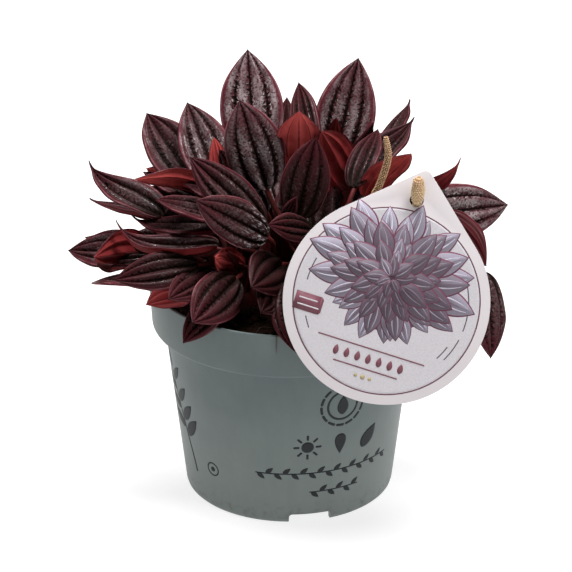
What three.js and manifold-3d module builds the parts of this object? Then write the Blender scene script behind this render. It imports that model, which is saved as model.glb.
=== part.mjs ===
// Ripple peperomia in its nursery pot, with a hanging care tag.
// Millimetres, +Z up. The origin is the middle of the pot's foot, at the surface it stands on.
import * as THREE from 'three';
import { mergeVertices } from 'three/addons/utils/BufferGeometryUtils.js';
import Module from 'manifold-3d';

const wasm = await Module();
wasm.setup();

const { Vector3, Vector2, MathUtils } = THREE;
const rad = MathUtils.degToRad;

// ---------------------------------------------------------------- driving dimensions
const potHeight = 96;
const rimRadius = 60; // outside, at the lip
const rimBandFoot = 76; // height where the rim band steps out
const footRadius = 44.8;
const wall = 1.3;
const floorUnder = 5; // underside of the pot's floor
const floorTop = 6.6;
const sides = 30; // of the pot and of the soil
const soilLevel = 85;
const gap = 0.3; // between neighbouring pieces

const crownHeight = 90; // middle of the head of leaves
const bladeThickness = 0.9;
const ridgeHeight = 0.5; // of the waves along a blade, either side of its middle plane
const petioleRadius = 1.4;
const fullWidth = 20; // blades at least this wide carry every ridge
const petioleSides = 3;
const stemRadius = 6.5;
const stemSides = 8;
const stemFoot = 68;
const stemTop = 93;
const stalkRadius = 1.2; // of a flower spike's stalk
const stalkHoleRadius = 2.2;
const spikeSides = 7;
const spikeDepth = 12; // of its foot in the soil

const tagRadius = 42.5;
const tagThickness = 0.7;
const tagHoleRadius = 2.9;

// ---------------------------------------------------------------- colours
const plum = { color: 0x4b3236, roughness: 0.42, metalness: 0 };
const spikeTan = { color: 0xb7a27c, roughness: 0.7, metalness: 0 };
const potGreen = { color: 0x7d8a87, roughness: 0.55, metalness: 0 };
const soilBrown = { color: 0x2b1c17, roughness: 0.95, metalness: 0 };
const tagWhite = { color: 0xd9d2d3, roughness: 0.35, metalness: 0 };

// ---------------------------------------------------------------- solids and meshes
const weld = 1e-4; // corners closer than this are one

function toSolid(geometry) {
  const bare = geometry.clone();
  bare.deleteAttribute('normal');
  bare.deleteAttribute('uv');
  const merged = mergeVertices(bare, weld);
  const mesh = new wasm.Mesh({
    numProp: 3,
    vertProperties: new Float32Array(merged.attributes.position.array),
    triVerts: new Uint32Array(merged.index.array),
  });
  return new wasm.Manifold(mesh);
}

function toGeometry(solid) {
  const { vertProperties, triVerts } = solid.getMesh();
  const geometry = new THREE.BufferGeometry();
  geometry.setAttribute('position', new THREE.BufferAttribute(new Float32Array(vertProperties), 3));
  geometry.setIndex(new THREE.BufferAttribute(new Uint32Array(triVerts), 1));
  return geometry;
}

function indexed(points, triangles) {
  const geometry = new THREE.BufferGeometry();
  geometry.setAttribute('position', new THREE.Float32BufferAttribute(points.flatMap((p) => p.toArray()), 3));
  geometry.setIndex(triangles.flat());
  return geometry;
}

function piece(name, geometry, look) {
  const mesh = new THREE.Mesh(geometry, new THREE.MeshStandardMaterial(look));
  mesh.name = name;
  return mesh;
}

// A closed body of revolution about Z from a profile of [radius, height] pairs.
function revolved(profile, segments = sides) {
  const geometry = new THREE.LatheGeometry(profile.map(([r, z]) => new Vector2(r, z)), segments);
  return geometry.rotateX(Math.PI / 2);
}

// A rod through points, with a radius at each of them.
function rod(path, radii, count) {
  const points = [];
  const triangles = [];
  let side = new Vector3(1, 0, 0);
  path.forEach((p, i) => {
    const along = path[Math.min(i + 1, path.length - 1)].clone().sub(path[Math.max(i - 1, 0)]).normalize();
    side = side.clone().addScaledVector(along, -side.dot(along)).normalize();
    const other = along.clone().cross(side);
    for (let k = 0; k < count; k += 1) {
      const a = (2 * Math.PI * (k + 0.5)) / count;
      points.push(p.clone()
        .addScaledVector(side, radii[i] * Math.cos(a))
        .addScaledVector(other, radii[i] * Math.sin(a)));
    }
  });
  for (let i = 0; i + 1 < path.length; i += 1) {
    for (let k = 0; k < count; k += 1) {
      const a = i * count + k;
      const b = i * count + ((k + 1) % count);
      triangles.push([a, b, b + count], [a, b + count, a + count]);
    }
  }
  const last = (path.length - 1) * count;
  for (let k = 1; k + 1 < count; k += 1) {
    triangles.push([0, k + 1, k], [last, last + k, last + k + 1]);
  }
  return indexed(points, triangles);
}

// ---------------------------------------------------------------- the leaning frame
// Leaves that make the plant's face are placed by how they are seen from the front and a little
// above: across (to the right), up (in a plane that leans back by leanAngle) and near (out of it).
const leanAngle = rad(24.9);
const up = new Vector3(0, Math.sin(leanAngle), Math.cos(leanAngle));
const near = new Vector3(0, -Math.cos(leanAngle), Math.sin(leanAngle));

function leaning([a, u, n]) {
  return new Vector3(a, 0, crownHeight).addScaledVector(up, u).addScaledVector(near, n);
}

// ---------------------------------------------------------------- a leaf
// Half width of a blade along its length, 0 at the foot and 1 at the tip.
const widest = 0.42;

function outline(t) {
  if (t < widest) return (1 - (1 - t / widest) ** 2) ** 0.6;
  return 1 - ((t - widest) / (1 - widest)) ** 1.75;
}

// Stations along a blade, and its waves across: the sunk midrib, a ridge, a sunk vein and the margin.
const fullBlade = {
  stations: [0.12, 0.37, 0.63, 0.86],
  waves: [[-1, 0.3], [-0.66, -0.8], [-0.33, 1], [0, -1], [0.33, 1], [0.66, -0.8], [1, 0.3]],
};
// Small and hidden blades have the midrib and one ridge to each half.
const plainBlade = {
  stations: [0.15, 0.5, 0.82],
  waves: [[-1, -0.5], [-0.5, 1], [0, -1], [0.5, 1], [1, -0.5]],
};

const fullSwell = 6; // half width from which the waves have their full height

// leaf: tip and base points, width, roll from the face direction, arch and hook of the midrib as
// shares of the length, cup as the angle that each half is bent by.
function bladeFrame({ tip, base, roll, face }) {
  const along = tip.clone().sub(base);
  const length = along.length();
  along.divideScalar(length);
  const flat = face.clone().addScaledVector(along, -face.dot(along)).normalize();
  const turn = rad(roll);
  const across = along.clone().cross(flat);
  const normal = flat.clone().multiplyScalar(Math.cos(turn)).addScaledVector(across, Math.sin(turn));
  return { along, length, normal, side: along.clone().cross(normal) };
}

function midrib(leaf, frame, t) {
  const lift = leaf.arch * 4 * t * (1 - t) + leaf.hook * (t ** 6 - t);
  return leaf.base.clone()
    .addScaledVector(frame.along, frame.length * t)
    .addScaledVector(frame.normal, frame.length * lift);
}

function bladeSolid(leaf) {
  const { stations, waves } = leaf.plain || leaf.width < fullWidth ? plainBlade : fullBlade;
  const frame = bladeFrame(leaf);
  const points = [];
  const triangles = [];
  const pair = (middle, normal) => {
    points.push(middle.clone().addScaledVector(normal, bladeThickness / 2));
    points.push(middle.clone().addScaledVector(normal, -bladeThickness / 2));
  };
  pair(midrib(leaf, frame, 0), frame.normal);
  for (const t of stations) {
    const half = (leaf.width / 2) * outline(t);
    const swell = ridgeHeight * Math.min(1, half / fullSwell);
    for (const [u, wave] of waves) {
      const bend = leaf.cup * u;
      const reach = (half * Math.sin(bend)) / leaf.cup;
      const rise = (half * (1 - Math.cos(bend))) / leaf.cup;
      const normal = frame.normal.clone().multiplyScalar(Math.cos(bend))
        .addScaledVector(frame.side, -Math.sin(bend));
      pair(midrib(leaf, frame, t)
        .addScaledVector(frame.side, reach)
        .addScaledVector(frame.normal, rise)
        .addScaledVector(normal, swell * wave), normal);
    }
  }
  pair(midrib(leaf, frame, 1), frame.normal);
  const n = waves.length;
  const at = (row, k) => 2 * (1 + row * n + k);
  const foot = 0;
  const point = points.length - 2;
  // Both faces are split alike: even numbers are the upper face, the next odd ones the lower.
  const both = (a, b, c) => triangles.push([a, c, b], [a + 1, b + 1, c + 1]);
  const edge = (a, b) => triangles.push([a, b + 1, a + 1], [a, b, b + 1]);
  for (let k = 0; k + 1 < n; k += 1) {
    both(foot, at(0, k), at(0, k + 1));
    for (let row = 0; row + 1 < stations.length; row += 1) {
      both(at(row, k), at(row + 1, k), at(row + 1, k + 1));
      both(at(row, k), at(row + 1, k + 1), at(row, k + 1));
    }
    both(at(stations.length - 1, k), point, at(stations.length - 1, k + 1));
  }
  const left = [foot, ...stations.map((_, row) => at(row, 0)), point];
  const right = [foot, ...stations.map((_, row) => at(row, n - 1)), point];
  for (let i = 0; i + 1 < left.length; i += 1) {
    edge(left[i], left[i + 1]);
    edge(right[i + 1], right[i]);
  }
  return toSolid(indexed(points, triangles));
}

// The stalk leaves the crown's stem upwards and outwards and runs on under the blade's foot.
const petiole = {
  out: 0.15, // how far it first leans outwards, of its span
  rise: 0.3, // how far it first rises, of its span
  meet: 0.3, // how long it runs in line with the blade before it, of its span
  under: 0.16, // how far it runs on under the blade, of the blade's length
  taper: [1.25, 1.1, 1, 0.7],
};

function petioleSolid(leaf, root) {
  const frame = bladeFrame(leaf);
  const out = leaf.base.clone().sub(root);
  const span = out.length();
  const curve = new THREE.CubicBezierCurve3(
    root,
    root.clone().add(new Vector3(out.x * petiole.out, out.y * petiole.out, span * petiole.rise)),
    leaf.base.clone().addScaledVector(frame.along, -petiole.meet * span),
    leaf.base.clone().addScaledVector(frame.normal, -bladeThickness / 2),
  );
  const path = curve.getPoints(2);
  path.push(midrib(leaf, frame, petiole.under).addScaledVector(frame.normal, -bladeThickness));
  return toSolid(rod(path, petiole.taper.map((share) => share * petioleRadius), petioleSides));
}

// ---------------------------------------------------------------- where the leaves are
// [tip], [base] in the leaning frame, width, roll, arch, cup, hook
const leftLeaves = [
  [[-86, 55, -5], [-54, 30, 8], 24, 50, 0, 0.8, 0.22],
  [[-87, 39, -28], [-54, 30, -15], 16, 75, 0, 0.6, 0.06],
  [[-73, 29, 28], [-30, 17, 38], 23, 66, -0.09, 1.1, 0.22],
  [[-67, 31, 10], [-30, 25, 22], 20, 60, -0.03, 0.8, 0.15],
  [[-56, 37, 36], [-26, 30, 22], 18, 60, 0, 0.3, 0.04],
  [[-63, 50, -12], [-36, 36, -5], 18, 60, 0.03, 0.4, 0.04],
  [[-65, 46, 22], [-35, 41, 2], 20, 115, 0.06, 0.7, 0.05],
  [[-62, 52, -22], [-42, 40, -15], 14, 140, 0.03, 0.4, 0.04],
  [[-45, 44, 12], [-27, 35, 0], 13, 60, 0.05, 0.4, 0],
  [[-62, 76, -22], [-40, 43, -8], 25, 25, 0.05, 0.35, 0.04],
  [[-44, 80, -8], [-29.5, 42, 2], 23, 15, 0.05, 0.35, 0.04],
  [[-32, 64, 12], [-28, 45, 14], 8, 180, 0.04, 0.3, 0.02],
  [[-42, 55, 30], [-11, 25, 30], 20, 15, 0.08, -0.4, 0.03],
  [[-30, 59, 15], [-10, 32, 6], 17, -20, 0.05, -0.3, 0.03],
  [[-39, 36, 62], [-9, 21, 38], 21, 10, 0.1, -0.7, 0.02],
  [[-95, 16, -5], [-59, 14.5, 12], 20, 35, 0.05, 0.4, 0.03],
  [[-89, 22, -30], [-60, 19, -15], 16, 70, 0.04, 0.5, 0.05],
  [[-82, 13, 32], [-60, 16, 2], 20, 150, 0.06, 0.4, 0.03],
  [[-84, 2, 12], [-56, 0.5, 36], 16, 70, 0.05, 0.5, 0.02],
  [[-73, 3, 45], [-38, 10, 38], 18, 25, 0.07, -0.4, 0.01],
  [[-50, -5, 58], [-29, 6, 28], 18, 30, 0.06, -0.3, 0.01],
  [[-40, -14.5, 62], [-22, 4, 34], 22, 0, 0.07, -0.4, 0.01],
  [[-44, -23, 53], [-28, -5, 45], 14, 20, 0.12, -0.3, 0],
  [[-60, -7, 37], [-42, -3, 43], 14, 140, 0.1, 0.3, 0],
  [[-31, 13, 52], [-19, 9, 20], 12, 180, 0.05, 0.3, 0.02],
  [[-68, 42, -27], [-40, 29, -14], 18, 20, 0.05, 0.4, 0.03],
];
const rightLeaves = [
  [[-21, 79, 32], [-9.5, 41.5, 14], 25, 0, 0.08, -0.6, 0.02],
  [[4, 74, 40], [4, 49, 8], 20, 180, 0.04, 0.2, 0.03],
  [[11, 63, 42], [3, 29, 36], 22, 0, 0.08, -0.6, 0.02],
  [[-16, 0, 62], [-3, 10, 26], 20, 0, 0.08, -0.4, 0],
  [[-12, -10.5, 60], [0, 3, 27], 22, 0, 0.08, -0.3, 0],
  [[3, -27, 61], [-1, 2, 46], 13, 30, 0.21, -0.3, 0],
  [[-9, 26, 58], [9, 24, 42], 13, 20, 0.08, -0.4, 0],
  [[3, 38, 45], [-2, 28, 35], 6, 0, 0.05, 0.3, 0],
  [[13, 66, 28], [27, 42, -2], 22, 203, 0.04, 0.2, 0.02],
  [[38, 68, 0], [27, 42, 22], 14, -30, 0.05, 0.3, 0.03],
  [[54, 74, -15], [29, 47, 4], 19, -40, 0.04, 0.6, 0.12],
  [[51, 56, 38], [33, 38, 14], 18, -130, 0.05, 0.5, 0.06],
  [[72, 55, 25], [47, 34.5, 5], 14, -130, 0, 0.6, 0.2],
  [[93.6, 35.5, 0], [54, 33, 18], 22, -8, 0.05, -0.3, 0.02],
  [[83, 9, 25], [60, 30, 15], 20, -30, 0.12, -0.4, 0],
  [[87, -30, 15], [82, 7, 12], 20, -50, 0.08, -0.4, 0],
];
const innerLeaves = [
  [[0, 45, 2], [1, 25, 8], 16, 0, 0.06, -0.3, 0],
  [[17, 47, 2], [13, 22, 12], 20, 0, 0.06, -0.3, 0],
  [[38, 47, 2], [28, 27, 10], 17, -20, 0.06, -0.3, 0],
];
const underTagLeaves = [
  [[75, -5, 35], [45, 5, 25], 20, -20, 0.1, -0.3, 0],
  [[60, -15, 48], [36, 4, 33], 18, 0, 0.18, -0.3, 0],
  [[33, -20, 54], [20, 2, 40], 18, 0, 0.2, -0.3, 0],
  [[40, 26, 50], [22, 16, 30], 20, 0, 0.06, -0.4, 0],
  [[66, 18, 42], [38, 18, 20], 20, 0, 0.08, -0.4, 0],
  [[22, 5, 56], [10, 10, 30], 18, 0, 0.08, -0.4, 0],
  [[88, 12, -12], [58, 16, -4], 20, -20, 0.06, 0.3, 0.03],
];

const topLeaves = [
  [[-18, 103, -12], [-15, 58, -8], 28, 0, 0.04, -0.3, 0.02],
  [[-1, 84, -40], [-2, 53, -15], 10, 0, 0.04, 0.4, 0.03],
  [[4, 89.5, -25], [10, 57, 0], 13, -15, 0.04, 0.4, 0.03],
  [[30, 100, -20], [19, 52, -15], 26, 0, 0.04, 0.2, 0.02],
  [[20, 73, 6], [18, 53, -22], 8, 180, 0.04, 0.3, 0.02],
  [[36, 71, -6], [22, 51, -24], 12, 60, 0.04, 0.5, 0.03],
  [[53, 83, -44], [41, 55, -20], 15, -55, 0.04, 0.6, 0.08],
];

// The far side: tiers of leaves by azimuth (90 is straight back), each with its lift above level,
// its reach from the middle of the head and its blade's length.
const backTiers = [
  { from: 22, to: 147, count: 8, lift: 8, reach: 80, length: 37, width: 22 },
  { from: 31, to: 128, count: 7, lift: 20, reach: 80, length: 36, width: 21 },
  { from: 72, to: 126, count: 3, lift: 32, reach: 88, length: 36, width: 20 },
  { from: 78, to: 114, count: 2, lift: 48, reach: 68, length: 32, width: 19 },
];

let seed = 8;

function random() {
  seed = (seed * 16807) % 2147483647;
  return seed / 2147483647;
}
const jitter = (amount) => (random() * 2 - 1) * amount;

function around(azimuth, lift, reach) {
  return new Vector3(
    reach * Math.cos(rad(azimuth)) * Math.cos(rad(lift)),
    reach * Math.sin(rad(azimuth)) * Math.cos(rad(lift)),
    crownHeight + reach * Math.sin(rad(lift)),
  );
}

function backLeaves() {
  const leaves = [];
  for (const tier of backTiers) {
    for (let i = 0; i < tier.count; i += 1) {
      const azimuth = tier.from + ((tier.to - tier.from) * i) / (tier.count - 1) + jitter(4);
      const lift = tier.lift + jitter(3);
      leaves.push({
        tip: around(azimuth, lift, tier.reach + jitter(3)),
        base: around(azimuth + jitter(4), lift + 10, tier.reach - tier.length),
        width: tier.width + jitter(2),
        roll: jitter(18),
        arch: 0.08 + jitter(0.04),
        cup: -0.3 + jitter(0.2),
        hook: 0.02,
        face: new Vector3(0, 0, 1),
        plain: true,
      });
    }
  }
  return leaves;
}

function placed([tip, base, width, roll, arch, cup, hook]) {
  return { tip: leaning(tip), base: leaning(base), width, roll, arch, cup, hook, face: near };
}
const hidden = (row) => ({ ...placed(row), plain: true });

// ---------------------------------------------------------------- crowns
const crowns = [
  { name: 'crown_left', at: [-20, -4], leaves: leftLeaves.map(placed) },
  {
    name: 'crown_right',
    at: [16, -8],
    leaves: [...rightLeaves.map(placed), ...[...innerLeaves, ...underTagLeaves].map(hidden)],
  },
  { name: 'crown_back', at: [2, 20], leaves: [...topLeaves.map(placed), ...backLeaves()] },
];

function stemSolid([x, y]) {
  const profile = [
    [0, stemFoot], [stemRadius * 0.7, stemFoot], [stemRadius, stemFoot + 4], [stemRadius, stemTop - 4],
    [stemRadius * 0.7, stemTop], [0, stemTop],
  ];
  return toSolid(revolved(profile, stemSides)).translate([x, y, 0]);
}

const rootDepth = 3; // how deep a petiole starts inside the stem
const rootDrop = 30; // how far under its blade it starts, where the stem allows

function crownSolid({ at, leaves }) {
  const parts = [stemSolid(at)];
  for (const leaf of leaves) {
    const out = new Vector3(leaf.base.x - at[0], leaf.base.y - at[1], 0)
      .clampLength(0, stemRadius - rootDepth);
    const level = MathUtils.clamp(leaf.base.z - rootDrop, soilLevel + 2, stemTop - 2);
    const root = new Vector3(at[0] + out.x, at[1] + out.y, level);
    parts.push(bladeSolid(leaf), petioleSolid(leaf, root));
  }
  // Fusing can seal a tiny hollow between blades; the largest body alone has none.
  return wasm.Manifold.union(parts).decompose().reduce((a, b) => (b.volume() > a.volume() ? b : a));
}

// ---------------------------------------------------------------- flower spikes
// A thin stalk that thickens into the beaded spike; points in the leaning frame, foot first.
const spikes = [
  {
    name: 'flower_spike_free',
    points: [[34, -12, 21], [34, 11, 25], [34, 34, 30], [38, 44, 36], [41, 54, 42], [40, 63, 45]],
    radii: [stalkRadius, stalkRadius, 1.5, 1.7, 1.7, 1.1],
  },
  {
    name: 'flower_spike_through_tag',
    points: [[18, -14, 26], [35, 9, 43], [51, 32, 60], [52.1, 35.95, 66.2], [52.2, 37, 69.5],
      [52.4, 40, 73], [52.5, 44.6, 76.5]],
    radii: [stalkRadius, stalkRadius, 1.6, 2, 2.65, 2.9, 2],
  },
];

function spikePath({ points }) {
  const path = points.map(leaning);
  const foot = path[0].clone();
  foot.z = soilLevel - spikeDepth;
  return [foot, ...path];
}

// ---------------------------------------------------------------- the pot
const potOutside = [
  [0, floorUnder], [40, floorUnder], [40.9, 0], [42.8, 0], [44.2, 0.7], [footRadius, 2.4],
  [53.6, rimBandFoot - 0.4], [58.4, rimBandFoot], [58.8, rimBandFoot + 0.8],
  [rimRadius, potHeight - 0.8], [rimRadius - 0.4, potHeight],
];
const potInside = [
  [rimRadius - wall, potHeight], [rimRadius - wall - 0.3, potHeight - 0.8],
  [57.3, rimBandFoot + 1.5], [52.6, rimBandFoot + 1], [43.4, 8], [41.6, floorTop], [0, floorTop],
];
const notchCount = 3;
const notchWidth = 18;
const notchHeight = 4.5;
const notchTurn = -78.6;
const drainCount = 6;
const drainRadius = 4.5;
const drainCircle = 30;
const drainSides = 6;
const cutDepth = 12; // longer than any wall the cuts go through

function potCuts() {
  const cuts = [];
  for (let i = 0; i < notchCount; i += 1) {
    const box = new THREE.BoxGeometry(cutDepth, notchWidth, 2 * notchHeight);
    box.translate(footRadius, 0, 0);
    box.rotateZ(rad(notchTurn + (360 * i) / notchCount));
    cuts.push(toSolid(box));
  }
  for (let i = 0; i < drainCount; i += 1) {
    const hole = new THREE.CylinderGeometry(drainRadius, drainRadius, cutDepth, drainSides);
    hole.rotateX(Math.PI / 2);
    const turn = rad((360 * (i + 0.5)) / drainCount);
    hole.translate(drainCircle * Math.cos(turn), drainCircle * Math.sin(turn), floorUnder);
    cuts.push(toSolid(hole));
  }
  return wasm.Manifold.union(cuts);
}

function potGeometry() {
  const body = toSolid(revolved([...potOutside, ...potInside]));
  return toGeometry(body.subtract(potCuts()));
}

// ---------------------------------------------------------------- the soil
const soilProfile = [
  [0, floorTop + gap], [41.3, floorTop + gap], [42.9, 8.4], [52.1, rimBandFoot + 1.5],
  [56.7, rimBandFoot + 2], [57.2, soilLevel - 1.5], [52, soilLevel], [30, soilLevel + 0.8],
  [0, soilLevel + 0.4],
];

function holeSolid(x, y, floor, radius, count) {
  const profile = [[0, floor], [radius, floor], [radius, potHeight], [0, potHeight]];
  return toSolid(revolved(profile, count)).translate([x, y, 0]);
}

function soilGeometry() {
  const holes = crowns.map(({ at }) => (
    holeSolid(at[0], at[1], stemFoot - gap, stemRadius + 2 * gap, stemSides)));
  for (const spike of spikes) {
    const foot = spikePath(spike)[0];
    holes.push(holeSolid(foot.x, foot.y, foot.z - gap, stalkHoleRadius, spikeSides));
  }
  return toGeometry(toSolid(revolved(soilProfile)).subtract(wasm.Manifold.union(holes)));
}

// ---------------------------------------------------------------- the tag
// A disc whose two tangents meet in a rounded corner above it, with the hole under the corner.
const tagMiddle = [39.7, -5.3];
const tagCorner = [56.5, 47.8];
const tagHole = [52.1, 36];
const tagNear = 66.2;
const tagLean = { across: 0.01, up: 0.015 }; // how much nearer per millimetre across and up
const tagCornerRadius = 3;
const tagSides = 36;
const tagHoleSides = 12;

function arc(middle, radius, from, to, steps) {
  return Array.from({ length: steps + 1 }, (_, i) => {
    const a = from + ((to - from) * i) / steps;
    return new Vector2(middle.x + radius * Math.cos(a), middle.y + radius * Math.sin(a));
  });
}

function tagShape() {
  const toCorner = new Vector2(tagCorner[0] - tagMiddle[0], tagCorner[1] - tagMiddle[1]);
  const aim = toCorner.angle();
  const distance = toCorner.length() - tagCornerRadius;
  const open = Math.acos((tagRadius - tagCornerRadius) / distance);
  const corner = new Vector2(distance * Math.cos(aim), distance * Math.sin(aim));
  const rim = [
    ...arc(new Vector2(), tagRadius, aim + open, aim - open + 2 * Math.PI, tagSides),
    ...arc(corner, tagCornerRadius, aim - open, aim + open, 4),
  ];
  const hole = new Vector2(tagHole[0] - tagMiddle[0], tagHole[1] - tagMiddle[1]);
  const shape = new THREE.Shape(rim);
  shape.holes.push(new THREE.Path(arc(hole, tagHoleRadius, 0, 2 * Math.PI, tagHoleSides).slice(1)));
  return shape;
}

function tagMesh() {
  const geometry = new THREE.ExtrudeGeometry(tagShape(), {
    depth: tagThickness,
    bevelEnabled: false,
  });
  const tag = piece('tag', toGeometry(toSolid(geometry)), tagWhite);
  const x = new Vector3(1, 0, 0).addScaledVector(near, tagLean.across).normalize();
  const y = up.clone().addScaledVector(near, tagLean.up);
  const z = x.clone().cross(y).normalize();
  tag.quaternion.setFromRotationMatrix(new THREE.Matrix4().makeBasis(x, z.clone().cross(x), z));
  const depth = tagNear + tagLean.across * (tagMiddle[0] - tagHole[0])
    + tagLean.up * (tagMiddle[1] - tagHole[1]);
  tag.position.copy(leaning([tagMiddle[0], tagMiddle[1], depth]));
  return tag;
}

// ---------------------------------------------------------------- the whole
const peperomia = new THREE.Group();
peperomia.add(piece('pot', potGeometry(), potGreen));
peperomia.add(piece('soil', soilGeometry(), soilBrown));
for (const crown of crowns) {
  peperomia.add(piece(crown.name, toGeometry(crownSolid(crown)), plum));
}
for (const spike of spikes) {
  const path = spikePath(spike);
  const solid = toSolid(rod(path, [stalkRadius, ...spike.radii], spikeSides));
  peperomia.add(piece(spike.name, toGeometry(solid), spikeTan));
}
peperomia.add(tagMesh());

export default peperomia;
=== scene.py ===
import math

import bmesh
import bpy
import numpy as np
from mathutils import Matrix, Vector, noise


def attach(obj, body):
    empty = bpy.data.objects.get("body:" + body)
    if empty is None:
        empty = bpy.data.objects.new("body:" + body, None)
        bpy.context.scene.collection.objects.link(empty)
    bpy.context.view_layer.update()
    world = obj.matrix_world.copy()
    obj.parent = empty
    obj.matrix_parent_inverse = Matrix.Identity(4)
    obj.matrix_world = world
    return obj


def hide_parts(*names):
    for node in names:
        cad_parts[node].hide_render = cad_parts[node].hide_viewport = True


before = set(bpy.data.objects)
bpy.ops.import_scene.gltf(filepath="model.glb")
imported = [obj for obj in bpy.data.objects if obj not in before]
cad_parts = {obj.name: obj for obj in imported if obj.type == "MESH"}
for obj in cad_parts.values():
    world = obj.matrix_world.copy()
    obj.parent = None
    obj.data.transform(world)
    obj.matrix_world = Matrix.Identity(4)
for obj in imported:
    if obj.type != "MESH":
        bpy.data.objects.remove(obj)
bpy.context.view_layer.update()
bpy.context.scene.view_settings.view_transform = "Standard"
print("frame loaded with", len(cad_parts), "solids")

# Lengths are in millimetres until a mesh is made.
millimetre = 0.001
fullTurn = 2 * math.pi


def vec(x, y, z):
    return np.array([x, y, z], float)


def unit(v):
    return v / np.linalg.norm(v, axis=-1, keepdims=True)


def ease(x, low, high):
    s = np.clip((x - low) / (high - low), 0, 1)
    return s * s * (3 - 2 * s)


def evenAngles(count):
    return fullTurn * np.arange(count) / count


def ringAt(radius, angles, height, middle=(0, 0)):
    # points round an upright axis
    x = middle[0] + radius * np.cos(angles)
    y = middle[1] + radius * np.sin(angles)
    return np.stack(np.broadcast_arrays(x, y, height), -1)


def addObject(name, data):
    thing = bpy.data.objects.new(name, data)
    bpy.context.scene.collection.objects.link(thing)
    return thing


# camera and light
studio = {
    "cameraAt": (-0.00143, -1.422, 0.751),
    "cameraDown": 24.9,  # degrees below level
    "lens": 231.04,
    "sensor": 36,
    "worldLight": 0.10,
    "floorTone": (0.35, 0.35, 0.35),
    "floorGlow": 0.79,
    "floorReach": 6,
    # name: (place, aim, size, watts)
    "lights": {
        "keyLight": ((0.40, -0.40, 1.30), (0, 0, 0.12), 0.45, 15.0),
        "topLight": ((-0.12, 0.42, 1.32), (0, 0, 0.12), 0.60, 26.0),
        "sideLight": ((-0.80, 0.20, 1.15), (0, 0, 0.14), 0.30, 1.6),
        "fillLight": ((1.15, -1.00, 0.35), (0, 0, 0.04), 0.80, 2.5),
    },
}


def makeStudio():
    scene = bpy.context.scene
    camera = addObject("camera", bpy.data.cameras.new("camera"))
    camera.location = studio["cameraAt"]
    camera.rotation_euler = (math.radians(90 - studio["cameraDown"]), 0, 0)
    camera.data.sensor_width = studio["sensor"]
    camera.data.lens = studio["lens"]
    scene.camera = camera
    for name, (place, aim, size, watts) in studio["lights"].items():
        lamp = bpy.data.lights.new(name, "AREA")
        lamp.shape = "DISK"
        lamp.size = size
        lamp.energy = watts
        light = addObject(name, lamp)
        light.location = place
        light.rotation_euler = (Vector(aim) - Vector(place)).to_track_quat("-Z", "Y").to_euler()
    scene.world = bpy.data.worlds.new("studioAir")
    scene.world.use_nodes = True
    air = scene.world.node_tree.nodes["Background"]
    air.inputs["Color"].default_value = (1, 1, 1, 1)
    air.inputs["Strength"].default_value = studio["worldLight"]


makeStudio()
print("camera and lights placed")


# shader sums
def joined(operation):
    # a method that joins a socket to other values by one operation
    return lambda self, *values: self.sum(operation, self, *values)


class Wire:
    # a socket's value, colour or vector, which Python's signs act on
    def __init__(self, finish, socket):
        self.finish = finish
        self.socket = socket

    def other(self, name):
        return Wire(self.finish, self.socket.node.outputs[name])

    def sum(self, operation, *values):
        plain = all(not isinstance(v, Wire) or v.socket.type == "VALUE" for v in values)
        kind = "ShaderNodeMath" if plain else "ShaderNodeVectorMath"
        return self.finish.node(kind, {"operation": operation}, dict(enumerate(values)))

    __add__ = __radd__ = joined("ADD")
    __mul__ = __rmul__ = joined("MULTIPLY")
    __sub__ = joined("SUBTRACT")
    __abs__ = joined("ABSOLUTE")
    __gt__ = joined("GREATER_THAN")
    highest = joined("MAXIMUM")
    lowest = joined("MINIMUM")
    fraction = joined("FRACT")

    def __rsub__(self, value):
        return self.sum("SUBTRACT", value, self)

    def ease(self, low, high):
        values = {"Value": self, "From Min": low, "From Max": high}
        return self.finish.node("ShaderNodeMapRange", {"interpolation_type": "SMOOTHSTEP"}, values)

    def mix(self, first, second):
        # this value is the share of the second colour
        values = {0: self, 6: first, 7: second}
        return self.finish.node("ShaderNodeMix", {"data_type": "RGBA"}, values, 2)


class Finish:
    # one material and its nodes
    def __init__(self, name):
        self.material = bpy.data.materials.new(name)
        self.material.use_nodes = True
        self.tree = self.material.node_tree
        self.tree.nodes.clear()

    def node(self, kind, settings=None, values=None, output=0):
        node = self.tree.nodes.new(kind)
        for key, value in (settings or {}).items():
            setattr(node, key, value)
        for key, value in (values or {}).items():
            self.feed(node.inputs[key], value)
        return Wire(self, node.outputs[output]) if node.outputs else None

    def feed(self, socket, value):
        if isinstance(value, Wire):
            self.tree.links.new(value.socket, socket)
        elif socket.type == "RGBA":
            socket.default_value = (*value, 1)
        elif socket.type == "VECTOR" and not hasattr(value, "__len__"):
            socket.default_value = (value,) * 3
        else:
            socket.default_value = value

    def mark(self, name):
        return self.node("ShaderNodeAttribute", {"attribute_name": name}, output="Vector")

    def parts(self, wire):
        split = self.node("ShaderNodeSeparateXYZ", values={0: wire})
        return split, split.other("Y"), split.other("Z")

    def place(self):
        return self.node("ShaderNodeTexCoord", output="Object") * 1000  # millimetres

    def noise(self, where, scale, detail=2.0, roughness=0.5):
        values = {"Vector": where, "Scale": scale, "Detail": detail, "Roughness": roughness}
        return self.node("ShaderNodeTexNoise", values=values)

    def cells(self, where, scale):
        return self.node("ShaderNodeTexVoronoi", values={"Vector": where, "Scale": scale})

    def surface(self, colour, rough, height=None, specular=0.5, more=None):
        # height in millimetres
        values = {"Base Color": colour, "Roughness": rough, "Specular IOR Level": specular}
        values.update(more or {})
        if height is not None:
            bump = {"Height": height, "Distance": millimetre}
            values["Normal"] = self.node("ShaderNodeBump", values=bump)
        skin = self.node("ShaderNodeBsdfPrincipled", values=values)
        self.node("ShaderNodeOutputMaterial", values={"Surface": skin})
        return self.material


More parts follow.
